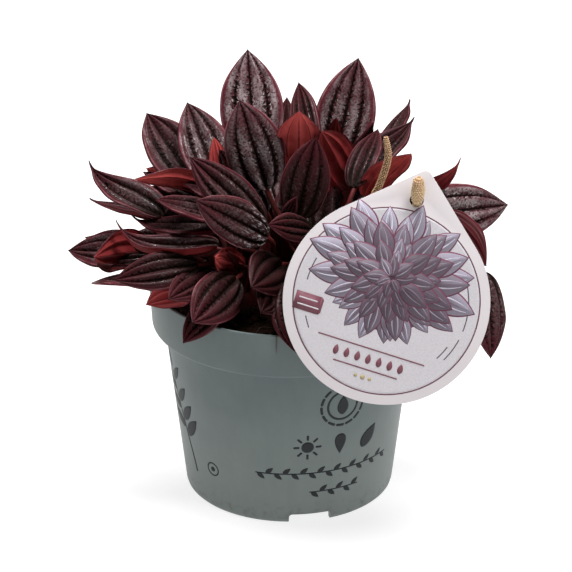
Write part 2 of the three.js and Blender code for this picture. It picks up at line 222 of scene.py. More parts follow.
# shapes
class Shape:
    # points and faces of a piece, with what its points carry and where its corners lie on the map
    def __init__(self):
        self.points, self.faces, self.finishes, self.corners = [], [], [], []
        self.marks = {}
        self.count = 0

    def add(self, points, faces, finish=0, corners=(), **marks):
        self.points.append(points)
        self.faces += [[i + self.count for i in face] for face in faces]
        self.finishes += finish if isinstance(finish, list) else [finish] * len(faces)
        self.corners += corners
        for name, values in marks.items():
            whole = np.broadcast_to(np.asarray(values, float), (len(points), 3))
            self.marks.setdefault(name, []).append(whole)
        self.count += len(points)


def loft(rings, first=None, last=None, cell=(0, 0, 1, 1), columns=None, rows=None):
    # a closed body through rings of points, with a point at each end; cell is its box on the map
    rings = np.asarray(rings, float)
    rowCount, count = rings.shape[:2]
    first = rings[0].mean(0) if first is None else first
    last = rings[-1].mean(0) if last is None else last
    points = np.concatenate([rings.reshape(-1, 3), [first, last]])
    columns = np.linspace(0, 1, count + 1) if columns is None else columns
    rows = np.linspace(0.02, 0.98, rowCount) if rows is None else rows
    faces, corners = [], []

    def spot(row, column):
        return (cell[0] + (cell[2] - cell[0]) * column, cell[1] + (cell[3] - cell[1]) * row)

    for i in range(rowCount - 1):
        low, high = i * count, (i + 1) * count
        for k in range(count):
            n = (k + 1) % count
            faces.append((low + k, low + n, high + n, high + k))
            corners += [spot(rows[i], columns[k]), spot(rows[i], columns[k + 1]),
                        spot(rows[i + 1], columns[k + 1]), spot(rows[i + 1], columns[k])]
    foot, tip = rowCount * count, rowCount * count + 1
    top = (rowCount - 1) * count
    for k in range(count):
        n = (k + 1) % count
        middle = (columns[k] + columns[k + 1]) / 2
        faces += [(foot, n, k), (tip, top + k, top + n)]
        corners += [spot(0, middle), spot(rows[0], columns[k + 1]), spot(rows[0], columns[k]),
                    spot(1, middle), spot(rows[-1], columns[k]), spot(rows[-1], columns[k + 1])]
    return points, faces, corners


def tubeRings(path, radii, count):
    path = np.asarray(path, float)
    side = vec(1, 0, 0)
    rings = []
    angles = evenAngles(count)
    for point, direction, radius in zip(path, unit(np.gradient(path, axis=0)), radii):
        side = unit(side - direction * side.dot(direction))
        other = np.cross(direction, side)
        rings.append(point + radius * (np.outer(np.cos(angles), side) + np.outer(np.sin(angles), other)))
    return np.array(rings)


def smoothPath(points, steps):
    # an even curve through the points
    points = np.asarray(points, float)
    padded = np.concatenate([[2 * points[0] - points[1]], points, [2 * points[-1] - points[-2]]])
    found = []
    for i in range(1, len(padded) - 2):
        a, b, c, d = padded[i - 1:i + 3]
        for t in np.linspace(0, 1, steps, endpoint=False):
            found.append(0.5 * (2 * b + (c - a) * t + (2 * a - 5 * b + 4 * c - d) * t * t
                                + (3 * b - a - 3 * c + d) * t ** 3))
    return np.array(found + [points[-1]])


def makePiece(name, shape, finishes, nodes=()):
    mesh = bpy.data.meshes.new(name)
    points = np.concatenate(shape.points) * millimetre
    mesh.from_pydata(points.tolist(), [], shape.faces)
    for finish in finishes:
        mesh.materials.append(finish)
    mesh.polygons.foreach_set("material_index", np.array(shape.finishes, np.int32))
    for key, parts in shape.marks.items():
        layer = mesh.attributes.new(key, "FLOAT_VECTOR", "POINT")
        layer.data.foreach_set("vector", np.concatenate(parts).astype(np.float32).ravel())
    if shape.corners:
        layer = mesh.uv_layers.new(name="OFBake")
        layer.data.foreach_set("uv", np.array(shape.corners, np.float32).ravel())
    seatPiece(name, mesh, nodes)


def reworked(mesh, change):
    # the mesh after a change to its faces
    work = bmesh.new()
    work.from_mesh(mesh)
    change(work)
    work.to_mesh(mesh)
    work.free()
    return mesh


def turnOutward(work):
    bmesh.ops.recalc_face_normals(work, faces=work.faces)


def seatPiece(name, mesh, nodes=(), sharp=None):
    reworked(mesh, turnOutward)
    mesh.polygons.foreach_set("use_smooth", np.ones(len(mesh.polygons), bool))
    if sharp:
        mesh.set_sharp_from_angle(angle=math.radians(sharp))
    piece = addObject(name, mesh)
    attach(piece, "root")
    if nodes:
        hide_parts(*nodes)
    triangles = sum(len(face.vertices) - 2 for face in mesh.polygons)
    print(f"{name}: {triangles} triangles")

# the leaning frame: across, up and near, as the plant's face is seen
crownHeight = 90
leanAngle = math.radians(24.9)
upAxis = vec(0, math.sin(leanAngle), math.cos(leanAngle))
nearAxis = vec(0, -math.cos(leanAngle), math.sin(leanAngle))


def leaning(across, up, near):
    return vec(across, 0, crownHeight) + upAxis * up + nearAxis * near


# leaf finishes
sunkVeins = (0.5, 0.86)  # where the side veins run, in shares of the half blade
leafPaint = {
    "plum": (0.072, 0.0155, 0.0195),
    "dusk": (0.022, 0.0066, 0.0066),
    "speck": (0.175, 0.100, 0.103),
    "blush": (0.150, 0.045, 0.055),
    # partly the ridges' own silvery grey, partly painted sheen
    "silverSheen": (0.420, 0.365, 0.375),
    # painted glints
    "shine": (0.640, 0.590, 0.610),
    # dark groove colour: partly the leaf's own, partly painted shade in the grooves
    "moss": (0.0090, 0.0062, 0.0042),
    "groove": (0.0022, 0.0014, 0.0010),
    "margin": (0.090, 0.0120, 0.0200),
    # painted highlight along the rim
    "edge": (0.340, 0.150, 0.160),
    "young": (0.092, 0.013, 0.018),
    # painted shade, mixed in by each leaf's shade
    "deep": (0.0100, 0.0030, 0.0025),
    "grain": 1.05,  # grains per millimetre
    "sideVeins": 2.7,  # millimetres from one to the next
}


def leafUpperFinish():
    p = leafPaint
    f = Finish("leafUpper")
    across, along, shade = f.parts(f.mark("blade"))
    tone, young, paintedSheen = f.parts(f.mark("mood"))
    span = f.mark("span")
    aside, up, _ = f.parts(span)
    inner, outer = sunkVeins
    # painted sheen on the ridge crests, weaker towards the tip; its share comes with each leaf
    silverSheen = paintedSheen * (1.1 - along.ease(0.40, 0.95) * (0.75 - paintedSheen * 0.35))
    grain = f.noise(span, p["grain"], 2, 0.6)
    chip = f.noise(span, 0.5, 2, 0.6) - 0.5
    drift = f.noise(span, 0.22, 1) - 0.5
    cloud = f.noise(span, 0.10, 2)
    patch = f.noise(span * (0.34, 0.14, 1.0), 1.0, 2).ease(0.38, 0.62)  # long patches
    # side veins slope up from the midrib and break the edges of the dark bands
    slope = (up - abs(aside) * 0.8) * (1 / p["sideVeins"]) + chip * 0.9 + drift * 2 + (aside > 0) * 0.5
    step = (abs(slope.fraction() - 0.5) * 2).ease(0.45, 0.95) * (1 - abs(across).ease(0.55, 0.78))
    step = step * (0.35 + drift.ease(-0.15, 0.15))
    rimward = abs(across).ease(0.72, 0.90)
    foot = 1 - along.ease(0.0, 0.40)
    fade = along.ease(0.45, 1.0)
    # distance from the nearest sunk vein, and the dark band round it: partly the blade's own dark
    # tissue, partly painted shade in the grooves, wider near the foot and on shaded leaves
    reach = abs(across) + chip * 0.03 + drift * 0.05
    closing = along.ease(0.60, 0.90) * 0.07
    first = abs(reach - inner) + closing
    second = abs(reach - outer) * 1.5 + 0.05 + closing
    gap = (abs(across) + chip * 0.03).lowest(first).lowest(second)
    core = 1 - (gap + fade * 0.012).ease(0.012, 0.042)
    band = gap + silverSheen * 0.035 + fade * 0.035 - foot * (0.05 + shade.highest(0) * 0.18)
    band = band - step * 0.10 - chip * 0.16
    dark = 1 - band.ease(0.025, 0.09)
    # painted glints: crisp bright bits beside the dark bands, mixed to the silver colour below
    glint = (1 - abs(band - 0.10).ease(0.0, 0.035)) * chip.ease(-0.02, 0.10) * (1 - fade) * (1 - rimward)
    # painted sheen, partly the ridges' own silvery grey: crests mixed towards the silver colour, with
    # more light specks where it is strong
    crest = gap.ease(0.06, 0.18) * (0.30 + patch * 0.70)
    # painted shade: leaves whose shade is over 0 get a darker base colour
    skin = ((cloud.ease(0.3, 0.7) * 0.5 + tone * 0.5) * (1 - shade * 0.7)).mix(p["dusk"], p["plum"])
    skin = (crest * silverSheen * (0.30 + grain.ease(0.30, 0.62) * 0.60)).mix(skin, p["silverSheen"])
    # painted shade: shaded leaves get redder, darker specks
    fleck = (shade * 1.4).highest(0).mix(p["speck"], p["blush"])
    skin = (grain.ease(0.52, 0.64) * (0.26 + silverSheen * 0.26)).mix(skin, fleck)
    skin = ((1 - grain.ease(0.36, 0.49)) * 0.6).mix(skin, p["dusk"])
    skin = (young * 0.55).mix(skin, p["young"])
    skin = (rimward * 0.85).highest(along.ease(0.40, 0.98) * (0.60 - paintedSheen * 0.45)).mix(skin, p["margin"])
    skin = (dark * 0.9).mix(skin, p["moss"])
    skin = (glint * (0.08 + silverSheen)).mix(skin, p["silverSheen"])
    # painted shade: shaded leaves are mixed towards the deep colour
    skin = (shade.highest(shade * -0.85) * 0.62 + shade.ease(0.85, 1.0) * 0.25).mix(skin, p["deep"])
    # painted glints: white streaks on the crests near the foot of leaves whose shade is below 0
    streak = f.noise(span * (1.5, 0.4, 1.0), 1.0, 2).ease(0.50, 0.68) * gap.ease(0.06, 0.14)
    skin = (streak * (1 - along.ease(0.10, 0.48)) * (shade * -1.1).highest(0)).mix(skin, p["shine"])
    # the groove lines go near-black, partly the leaf's own colour and partly painted shade; the very tip
    # darkens too
    skin = (core.highest(along.ease(0.965, 0.995) * 0.6) * 0.97).mix(skin, p["groove"])
    # painted highlight: a thin light line along the rim, fainter on shaded leaves
    paintedRimHighlight = (1 - abs(abs(across) - 0.95).ease(0.005, 0.035)) * (0.25 + patch * 0.75)
    skin = (paintedRimHighlight * (0.60 - shade * 0.25)).mix(skin, p["edge"])
    rough = 0.50 + (grain - 0.5) * 0.35 + core * 0.15
    wet = 0.15 + grain.ease(0.40, 0.62) * 0.85
    coat = (0.09 + silverSheen * 0.95) * (1 - abs(shade) * 0.7) * (1 - core * 0.9) * (1 - dark * 0.6)
    coat = coat * (0.35 + patch * 0.8) * wet + glint * 0.5
    height = (grain - 0.5) * 0.20 - step * 0.36 * (1 - gap.ease(0.05, 0.20)) - core * 0.10
    more = {"Coat Weight": coat, "Coat Roughness": 0.20, "Coat IOR": 1.5}
    return f.surface(skin, rough, height, 0.05, more)


underPaint = {
    "crimson": (0.215, 0.0115, 0.0135),
    # painted light shining through the leaf
    "litThroughRed": (0.700, 0.120, 0.112),
    "vein": (0.075, 0.007, 0.010),
    "margin": (0.110, 0.012, 0.020),
    # painted shade
    "deep": (0.014, 0.004, 0.005),
}


def leafUnderFinish():
    p = underPaint
    f = Finish("leafUnder")
    across, along, shade = f.parts(f.mark("blade"))
    tone, _, _ = f.parts(f.mark("mood"))
    span = f.mark("span")
    inner, outer = sunkVeins
    grain = f.noise(span, 1.6, 3, 0.6)
    cloud = f.noise(span, 0.13, 2)
    reach = abs(across) + (f.noise(span, 0.3, 1) - 0.5) * 0.07
    vein = (1 - reach.ease(0.015, 0.06)).highest((1 - abs(reach - inner).ease(0.008, 0.04)) * 0.8)
    vein = vein.highest((1 - abs(reach - outer).ease(0.005, 0.035)) * 0.6)
    # painted light: lighter towards the tip, where light would shine through; darker on shaded leaves,
    # lighter where shade is below 0
    glow = (cloud.ease(0.3, 0.7) * 0.35 + tone * 0.2 + along.ease(0.15, 0.95) * 0.45) * (1 - shade * 0.8)
    skin = glow.mix(p["crimson"], p["litThroughRed"])
    # painted shade: shaded undersides go towards the vein colour, the darkest towards the deep colour
    skin = (shade.highest(0) * 0.85).mix(skin, p["vein"])
    skin = (shade.ease(0.85, 1.0) * 0.7).mix(skin, p["deep"])
    skin = (vein * 0.75).mix(skin, p["vein"])
    skin = (abs(across).ease(0.9, 1.0) * 0.8).mix(skin, p["margin"])
    skin = ((grain - 0.5) * 0.35 + 0.12).mix(skin, p["vein"])
    more = {"Coat Weight": 0.10, "Coat Roughness": 0.3}
    return f.surface(skin, 0.50 + (grain - 0.5) * 0.2, (grain - 0.5) * 0.06 + vein * 0.10, 0.08, more)


stalkPaint = {
    "red": (0.085, 0.009, 0.011),
    "brown": (0.045, 0.014, 0.010),
    "pale": (0.120, 0.022, 0.019),
}


def stalkFinish():
    p = stalkPaint
    f = Finish("stalk")
    where = f.place()
    streak = f.noise(where * (0.9, 0.9, 0.12), 1.0, 3)
    grain = f.noise(where, 2.2, 2)
    skin = streak.ease(0.35, 0.7).mix(p["red"], p["brown"])
    skin = (grain.ease(0.6, 0.8) * 0.4).mix(skin, p["pale"])
    return f.surface(skin, 0.45 + streak * 0.15, (grain - 0.5) * 0.05 + streak * 0.08, 0.08)


# leaves
leafForm = {
    "widest": 0.42,
    "footCurve": 0.43,
    "fullHalf": 7.5,
    # how full the outer half is, how early it closes and how wide its end stays
    "tip": (2.2, 1.02, 0.06),
    "dripTip": (1.75, 1.13, 0.115),  # hooked leaves end in a slender drip tip
    "dripFrom": 0.06,  # from this much hook
    # each ridge: where it starts and stops across the blade, with the height there, and its crest
    "ridges": [((0, -1.25), (sunkVeins[0], -0.55), 0.8),
               ((sunkVeins[0], -0.55), (sunkVeins[1], 0.1), 0.8),
               ((sunkVeins[1], 0.1), (1.0001, -0.5), 0.15)],
    "crestSkew": 1.4,  # crests lie towards the outer side of their ridge
    "ridge": 1.1,
    "thickness": 0.75,
    "marginWave": 0.35,
    "waves": 2.2,  # along one rim
    "unevenness": 0.06,  # of the ridges' height along the blade
    "rimThinning": 0.45,
    "rows": 34,
    "plainRows": 22,
    "across": (0, 0.03, 0.07, 0.13, 0.2, 0.27, 0.34, 0.41, 0.46, 0.5, 0.54, 0.59, 0.66, 0.73,
               0.8, 0.86, 0.91, 0.96, 0.985, 1),
    "plainAcross": (0, 0.06, 0.15, 0.27, 0.41, 0.5, 0.59, 0.7, 0.8, 0.86, 0.93, 1),
    "grainShift": 40.0,  # millimetres from one leaf's grain to the next one's
    "petioleRadius": 1.35,
    "petioleSides": 8,
    "petioleSteps": 12,
    "petioleShares": (1.1, 0.82),  # of the radius, at the root and at the blade
    # the petiole runs on as a keel under the sunk midrib: places along the blade, shares of the radius
    "keel": (0.05, 0.11, 0.2, 0.3, 0.42),
    "keelShares": (0.76, 0.66, 0.52, 0.38, 0.22),
    "keelCover": 0.18,
}


def outline(t, hook=0.0):
    f = leafForm
    low = np.clip(1 - (1 - t / f["widest"]) ** 2, 0, 1) ** f["footCurve"]
    past = np.clip((t - f["widest"]) / (1 - f["widest"]), 0, 1)
    curve, early, end = f["dripTip"] if hook >= f["dripFrom"] else f["tip"]
    body = np.clip(1 - (past * early) ** curve, 0, 1)
    drip = end * (1 - past ** 7)
    high = (body ** 3 + drip ** 3) ** (1 / 3) / (1 + end ** 3) ** (1 / 3)
    return np.where(t < f["widest"], low, high)


def relief(across):
    # the section of a blade, in shares of its swell: narrow sunk veins between broad ridges
    reach = np.abs(across)
    height = np.zeros_like(reach)
    for (low, foot), (high, nextFoot), crest in leafForm["ridges"]:
        inside = (reach >= low) & (reach <= high)
        s = (reach - low) / (high - low)
        skewed = np.clip(s, 0, 1) ** leafForm["crestSkew"]
        dome = np.clip(1 - np.abs(2 * skewed - 1) ** 2.0, 0, 1) ** 0.8
        level = foot + (nextFoot - foot) * s
        height = np.where(inside, level + (crest - (foot + nextFoot) / 2) * dome, height)
    return height


def bladeFrame(leaf):
    along = leaf["tip"] - leaf["base"]
    length = np.linalg.norm(along)
    along = along / length
    flat = unit(leaf["face"] - along * leaf["face"].dot(along))
    turn = math.radians(leaf["roll"])
    normal = flat * math.cos(turn) + np.cross(along, flat) * math.sin(turn)
    return along, normal, np.cross(along, normal), length


def midrib(leaf, t):
    along, normal, _, length = bladeFrame(leaf)
    lift = leaf["arch"] * 4 * t * (1 - t) + leaf["hook"] * (t ** 6 - t)
    return leaf["base"] + np.multiply.outer(t, along) * length + np.multiply.outer(lift, normal) * length


def addBlade(shape, leaf, cell):
    f = leafForm
    halfAcross = np.array(f["plainAcross" if leaf["plain"] else "across"])
    u = np.concatenate([-halfAcross[:0:-1], halfAcross])
    x = np.linspace(0, 1, f["plainRows" if leaf["plain"] else "rows"])
    t = 0.012 + 0.978 * (0.55 * x + 0.45 * (0.5 - 0.5 * np.cos(math.pi * x)))  # closer rows at the ends
    row = t[:, None]
    _, normal, side, length = bladeFrame(leaf)
    half = (leaf["width"] / 2 * outline(t, leaf["hook"]))[:, None]
    bend = leaf["cup"] * u[None, :]
    reach = half * np.sin(bend) / leaf["cup"]
    rise = half * (1 - np.cos(bend)) / leaf["cup"]
    facing = np.cos(bend)[..., None] * normal - np.sin(bend)[..., None] * side
    swell = f["ridge"] * np.minimum(1, half / f["fullHalf"])
    wave = np.sin(fullTurn * (row * f["waves"] + leaf["phase"] + 0.31 * np.sign(u)))
    ripple = f["marginWave"] * np.minimum(1, half / 10) * np.abs(u) ** 3 * wave
    bounce = 1 + f["unevenness"] * np.sin(row * length / 1.6 + 5 * np.abs(u) + 9 * leaf["phase"])
    lift = relief(u)[None, :] * swell * bounce + ripple
    middle = midrib(leaf, t)[:, None, :] + reach[..., None] * side + rise[..., None] * normal
    middle = middle + facing * lift[..., None]
    thick = f["thickness"] / 2 * (1 - f["rimThinning"] * np.abs(u) ** 6)[None, :, None]
    upper = middle + facing * thick
    lower = middle - facing * thick
    rings = np.concatenate([upper, lower[:, ::-1]], axis=1)
    columns = 0.47 * (u + 1) / 2
    columns = np.concatenate([columns, 0.5 + columns, [1.0]])
    foot, tip = midrib(leaf, np.array([0.0, 1.0]))
    points, faces, corners = loft(rings, foot, tip, cell, columns, t)
    ringFinish = [0] * len(u) + [1] * (len(u) - 1) + [0]
    finish = ringFinish * (len(t) - 1) + [n for n in ringFinish for _ in range(2)]
    loop = np.concatenate([u, u[::-1]])[None, :]

    def spread(aside, whole, third):
        # what the points of the blade carry, then its foot and its tip
        body = np.stack(np.broadcast_arrays(aside, row * whole, third), -1).reshape(-1, 3)
        return np.concatenate([body, [(0, 0, third), (0, whole, third)]])

    shape.add(points, faces, finish, corners, blade=spread(loop, 1, leaf["shade"]),
              span=spread(loop * half, length, f["grainShift"] * leaf["number"]), mood=leaf["mood"])


def addPetiole(shape, leaf, root, cell):
    f = leafForm
    steps = f["petioleSteps"]
    along, normal, _, _ = bladeFrame(leaf)
    out = leaf["base"] - root
    span = np.linalg.norm(out)
    bends = [root, root + vec(out[0] * 0.15, out[1] * 0.15, span * 0.3),
             leaf["base"] - along * 0.3 * span, leaf["base"] - normal * 0.8]
    t = np.linspace(0, 1, steps)[:, None]
    path = (bends[0] * (1 - t) ** 3 + 3 * bends[1] * t * (1 - t) ** 2
            + 3 * bends[2] * t * t * (1 - t) + bends[3] * t ** 3)
    under = np.array(f["keel"])
    slim = min(1, 0.62 + leaf["width"] / 50)
    shares = np.concatenate([np.linspace(*f["petioleShares"], steps), f["keelShares"]])
    radii = shares * f["petioleRadius"] * slim
    swell = f["ridge"] * np.minimum(1, leaf["width"] / 2 * outline(under) / f["fullHalf"])
    depth = -relief(np.zeros(1))[0] * swell - f["thickness"] / 2 + f["keelCover"] + radii[steps:]
    path = np.concatenate([path, midrib(leaf, under) - np.outer(depth, normal)])
    points, faces, corners = loft(tubeRings(path, radii, f["petioleSides"]), cell=cell)
    shape.add(points, faces, 2, corners, blade=(0, 0, 0), span=(0, 0, 0), mood=leaf["mood"])


# tip, base (across, up, near), width, roll, arch, cup, hook and, where it is not 0, painted shade (below
# 0: painted glints and lighter colour)
leftLeaves = [
    ((-86, 55, -5), (-54, 30, 8), 24, 50, 0, 0.8, 0.22, 0.7),
    ((-87, 39, -28), (-54, 30, -15), 16, 75, 0, 0.6, 0.06, 0.8),
    ((-73, 29, 28), (-30, 17, 38), 23, 66, -0.09, 1.1, 0.22, 0.6),
    ((-67, 31, 10), (-30, 25, 22), 20, 60, -0.03, 0.8, 0.15, 0.7),
    ((-56, 37, 36), (-26, 30, 22), 18, 60, 0, 0.3, 0.04, 0.6),
    ((-63, 50, -12), (-36, 36, -5), 18, 60, 0.03, 0.4, 0.04, 0.8),
    ((-65, 46, 22), (-35, 41, 2), 20, 115, 0.06, 0.7, 0.05),
    ((-62, 52, -22), (-42, 40, -15), 14, 140, 0.03, 0.4, 0.04),
    ((-45, 44, 12), (-27, 35, 0), 13, 60, 0.05, 0.4, 0, 0.5),
    ((-62, 76, -22), (-40, 43, -8), 25, 25, 0.05, 0.35, 0.04, 0.62),
    ((-44, 80, -8), (-29.5, 42, 2), 23, 15, 0.05, 0.35, 0.04, 0.3),
    ((-32, 64, 12), (-28, 45, 14), 8, 180, 0.04, 0.3, 0.02),
    ((-42, 55, 30), (-11, 25, 30), 20, 15, 0.08, -0.4, 0.03, 0.65),
    ((-30, 59, 15), (-10, 32, 6), 17, -20, 0.05, -0.3, 0.03, -0.8),
    ((-39, 36, 62), (-9, 21, 38), 21, 10, 0.1, -0.7, 0.02, -0.9),
    ((-95, 16, -5), (-59, 14.5, 12), 20, 35, 0.05, 0.4, 0.03, 0.6),
    ((-89, 22, -30), (-60, 19, -15), 16, 70, 0.04, 0.5, 0.05, 0.5),
    ((-82, 13, 32), (-60, 16, 2), 20, 150, 0.06, 0.4, 0.03, 0.5),
    ((-84, 2, 12), (-56, 0.5, 36), 16, 70, 0.05, 0.5, 0.02, 0.5),
    ((-73, 3, 45), (-38, 10, 38), 18, 25, 0.07, -0.4, 0.01, 0.8),
    ((-50, -5, 58), (-29, 6, 28), 18, 30, 0.06, -0.3, 0.01, 0.8),
    ((-40, -14.5, 62), (-22, 4, 34), 22, 0, 0.07, -0.4, 0.01, 0.75),
    ((-44, -23, 53), (-28, -5, 45), 14, 20, 0.12, -0.3, 0, 0.8),
    ((-60, -7, 37), (-42, -3, 43), 14, 140, 0.1, 0.3, 0, 0.3),
    ((-31, 13, 52), (-19, 9, 20), 12, 180, 0.05, 0.3, 0.02, -0.5),
    ((-68, 42, -27), (-40, 29, -14), 18, 20, 0.05, 0.4, 0.03, 0.8),
]
rightLeaves = [
    ((-21, 79, 32), (-9.5, 41.5, 14), 27.5, 0, 0.08, -0.6, 0.02, -0.15),
    ((4, 74, 40), (4, 49, 8), 20, 180, 0.04, 0.2, 0.03, -0.8),
    ((11, 63, 42), (3, 29, 36), 22, 0, 0.08, -0.6, 0.02, 0.8),
    ((-16, 0, 62), (-3, 10, 26), 23, 0, 0.08, -0.4, 0, 0.95),
    ((-12, -10.5, 60), (0, 3, 27), 22, 0, 0.08, -0.3, 0, 1),
    ((3, -27, 61), (-1, 2, 46), 13, 30, 0.21, -0.3, 0, 0.8),
    ((-9, 26, 58), (9, 24, 42), 13, 20, 0.08, -0.4, 0, 0.8),
    ((3, 38, 45), (-2, 28, 35), 6, 0, 0.05, 0.3, 0, 0.8),
    ((13, 66, 28), (27, 42, -2), 22, 203, 0.04, 0.2, 0.02, 0.45),
    ((38, 68, 0), (27, 42, 22), 14, -30, 0.05, 0.3, 0.03, 0.8),
    ((54, 74, -15), (29, 47, 4), 19, -40, 0.04, 0.6, 0.12, 0.9),
    ((51, 56, 38), (33, 38, 14), 18, -130, 0.05, 0.5, 0.01, -0.5),
    ((72, 55, 25), (47, 34.5, 5), 14, -130, 0, 0.6, 0.2, 0.7),
    ((93.6, 35.5, 0), (54, 30.5, 18), 25, -8, 0.05, -0.3, 0.02, -0.5),
    ((83, 9, 25), (60, 30, 15), 22, 166, -0.12, 0.4, 0, 1),
    ((85, -30, 15), (82, 7, 12), 21, -40, 0.08, -0.4, 0, 0.6),
]
innerLeaves = [
    ((0, 45, 2), (1, 25, 8), 16, 0, 0.06, -0.3, 0, 0.8),
    ((17, 47, 2), (13, 22, 12), 20, 0, 0.06, -0.3, 0, 0.8),
    ((38, 47, 2), (28, 27, 10), 17, -20, 0.06, -0.3, 0, 0.8),
]
underTagLeaves = [
    ((75, -5, 35), (45, 5, 25), 20, -20, 0.1, -0.3, 0),
    ((60, -15, 48), (36, 4, 33), 18, 0, 0.18, -0.3, 0),
    ((33, -20, 54), (20, 2, 40), 18, 0, 0.2, -0.3, 0),
    ((40, 26, 50), (22, 16, 30), 20, 0, 0.06, -0.4, 0),
    ((66, 18, 42), (38, 18, 20), 20, 0, 0.08, -0.4, 0),
    ((22, 5, 56), (10, 10, 30), 18, 0, 0.08, -0.4, 0),
    ((83.5, 14, -12), (58, 16, -4), 20, -20, 0.06, 0.3, 0.03),
]
topLeaves = [
    ((-18, 103, -12), (-15, 58, -8), 28, 0, 0.04, -0.3, 0.02),
    ((-1, 84, -40), (-2, 53, -15), 10, 0, 0.04, 0.4, 0.03, 0.9),
    ((4, 89.5, -25), (10, 57, 0), 13, -15, 0.04, 0.4, 0.03, 0.85),
    ((30, 100, -20), (19, 52, -15), 26, 0, 0.04, 0.2, 0.02, 0.35),
    ((20, 73, 6), (18, 53, -22), 8, 180, 0.04, 0.3, 0.02, 0.4),
    ((36, 71, -6), (22, 51, -24), 12, 60, 0.04, 0.5, 0.03, 0.9),
    ((53, 83, -44), (41, 55, -20), 15, -55, 0.04, 0.6, 0.08, 0.9),
]
# the far side: azimuth range, leaves, lift, reach, length, width
backTiers = [
    (22, 147, 8, 8, 80, 37, 22),
    (31, 128, 7, 20, 80, 36, 21),
    (72, 126, 3, 32, 88, 36, 20),
    (78, 114, 2, 48, 68, 32, 19),
]


class Draws:
    # the same even draws as the solids take
    def __init__(self, seed):
        self.seed = seed

    def draw(self):
        self.seed = self.seed * 16807 % 2147483647
        return self.seed / 2147483647

    def jitter(self, amount):
        return (self.draw() * 2 - 1) * amount


def around(azimuth, lift, reach):
    a, e = math.radians(azimuth), math.radians(lift)
    return vec(reach * math.cos(a) * math.cos(e), reach * math.sin(a) * math.cos(e),
               crownHeight + reach * math.sin(e))


def leafOf(tip, base, width, roll, arch, cup, hook, shade=0, face=nearAxis, plain=False):
    return {"tip": tip, "base": base, "width": width, "roll": roll, "arch": arch, "cup": cup,
            "hook": hook, "shade": shade, "face": face, "plain": plain}


def placed(rows, plain=False):
    return [leafOf(leaning(*tip), leaning(*base), *rest, plain=plain) for tip, base, *rest in rows]


def backLeaves():
    draws = Draws(8)
    leaves = []
    for start, stop, count, tierLift, reach, length, width in backTiers:
        for i in range(count):
            azimuth = start + (stop - start) * i / (count - 1) + draws.jitter(4)
            azimuth += 0 if leaves else 6  # the first keeps behind its neighbour
            lift = tierLift + draws.jitter(3)
            tip = around(azimuth, lift, reach + draws.jitter(3))
            base = around(azimuth + draws.jitter(4), lift + 10, reach - length)
            leaves.append(leafOf(tip, base, width + draws.jitter(2), draws.jitter(18),
                                 0.08 + draws.jitter(0.04), -0.3 + draws.jitter(0.2), 0.02,
                                 face=vec(0, 0, 1)))
    return leaves


crownForm = {
    "soilLevel": 85,
    "stemRadius": 6.5, "stemFoot": 68, "stemTop": 93, "stemRings": 15, "stemSides": 20,
    "at": {"left": (-20, -4), "right": (16, -8), "back": (2, 20)},
    "mapGap": 0.004,  # between two leaves on the map
}


def addStem(shape, at, cell):
    c = crownForm
    angles = evenAngles(c["stemSides"])
    rings = []
    for i, z in enumerate(np.linspace(c["stemFoot"], c["stemTop"], c["stemRings"])):
        end = min(1, 0.72 + 0.28 * min(i, c["stemRings"] - 1 - i) / 2)
        knobs = [noise.noise(Vector((3 * math.cos(a), 3 * math.sin(a), z * 0.6))) for a in angles]
        rings.append(ringAt(c["stemRadius"] * end * (1 + 0.07 * np.array(knobs)), angles, z, at))
    points, faces, corners = loft(rings, cell=cell)
    shape.add(points, faces, 2, corners, blade=(0, 0, 0), span=(0, 0, 0), mood=(0.5, 0, 0))


leafFinishes = [leafUpperFinish(), leafUnderFinish(), stalkFinish()]


def makeCrown(side, leaves, seed):
    c = crownForm
    draws = Draws(seed)
    at = c["at"][side]
    shape = Shape()
    grid = math.ceil(math.sqrt(len(leaves) + 1))
    gap = c["mapGap"]

    def cell(number, low, high):
        left, foot = (number % grid) / grid, (number // grid) / grid
        return (left + low / grid + gap, foot + gap, left + high / grid - gap, foot + 1 / grid - gap)

    for number, leaf in enumerate(leaves):
        leaf["number"] = number + seed
        leaf["phase"] = draws.draw()
        # small and low leaves are younger and redder; leaves towards the back get more painted sheen,
        # and shaded ones less
        small = float(ease(22 - leaf["width"], 2, 12))
        low = float(ease(118 - leaf["tip"][2], 0, 30))
        back = 1 - float(ease((leaf["tip"] - vec(0, 0, crownHeight)).dot(nearAxis), -8, 66))
        gleam = max(0.05, 1 - 1.15 * max(0, leaf["shade"]))
        leaf["mood"] = (0.2 + 0.8 * draws.draw(), min(1, 0.45 * small + 0.25 * low),
                        min(1, (0.22 + back * (0.58 + 0.2 * draws.draw())) * gleam))
        out = vec(leaf["base"][0] - at[0], leaf["base"][1] - at[1], 0)
        out = out * min(1, (c["stemRadius"] - 3) / max(1e-6, np.linalg.norm(out)))
        level = float(np.clip(leaf["base"][2] - 30, c["soilLevel"] + 2, c["stemTop"] - 2))
        addBlade(shape, leaf, cell(number, 0, 0.9))
        addPetiole(shape, leaf, vec(*at, level) + out, cell(number, 0.9, 1))
    addStem(shape, at, cell(len(leaves), 0, 1))
    makePiece("crown_" + side + "_leaves", shape, leafFinishes, ["crown_" + side])


makeCrown("left", placed(leftLeaves), 11)
makeCrown("right", placed(rightLeaves) + placed(innerLeaves + underTagLeaves, True), 101)
makeCrown("back", placed(topLeaves) + backLeaves(), 211)
print("three crowns of leaves made")


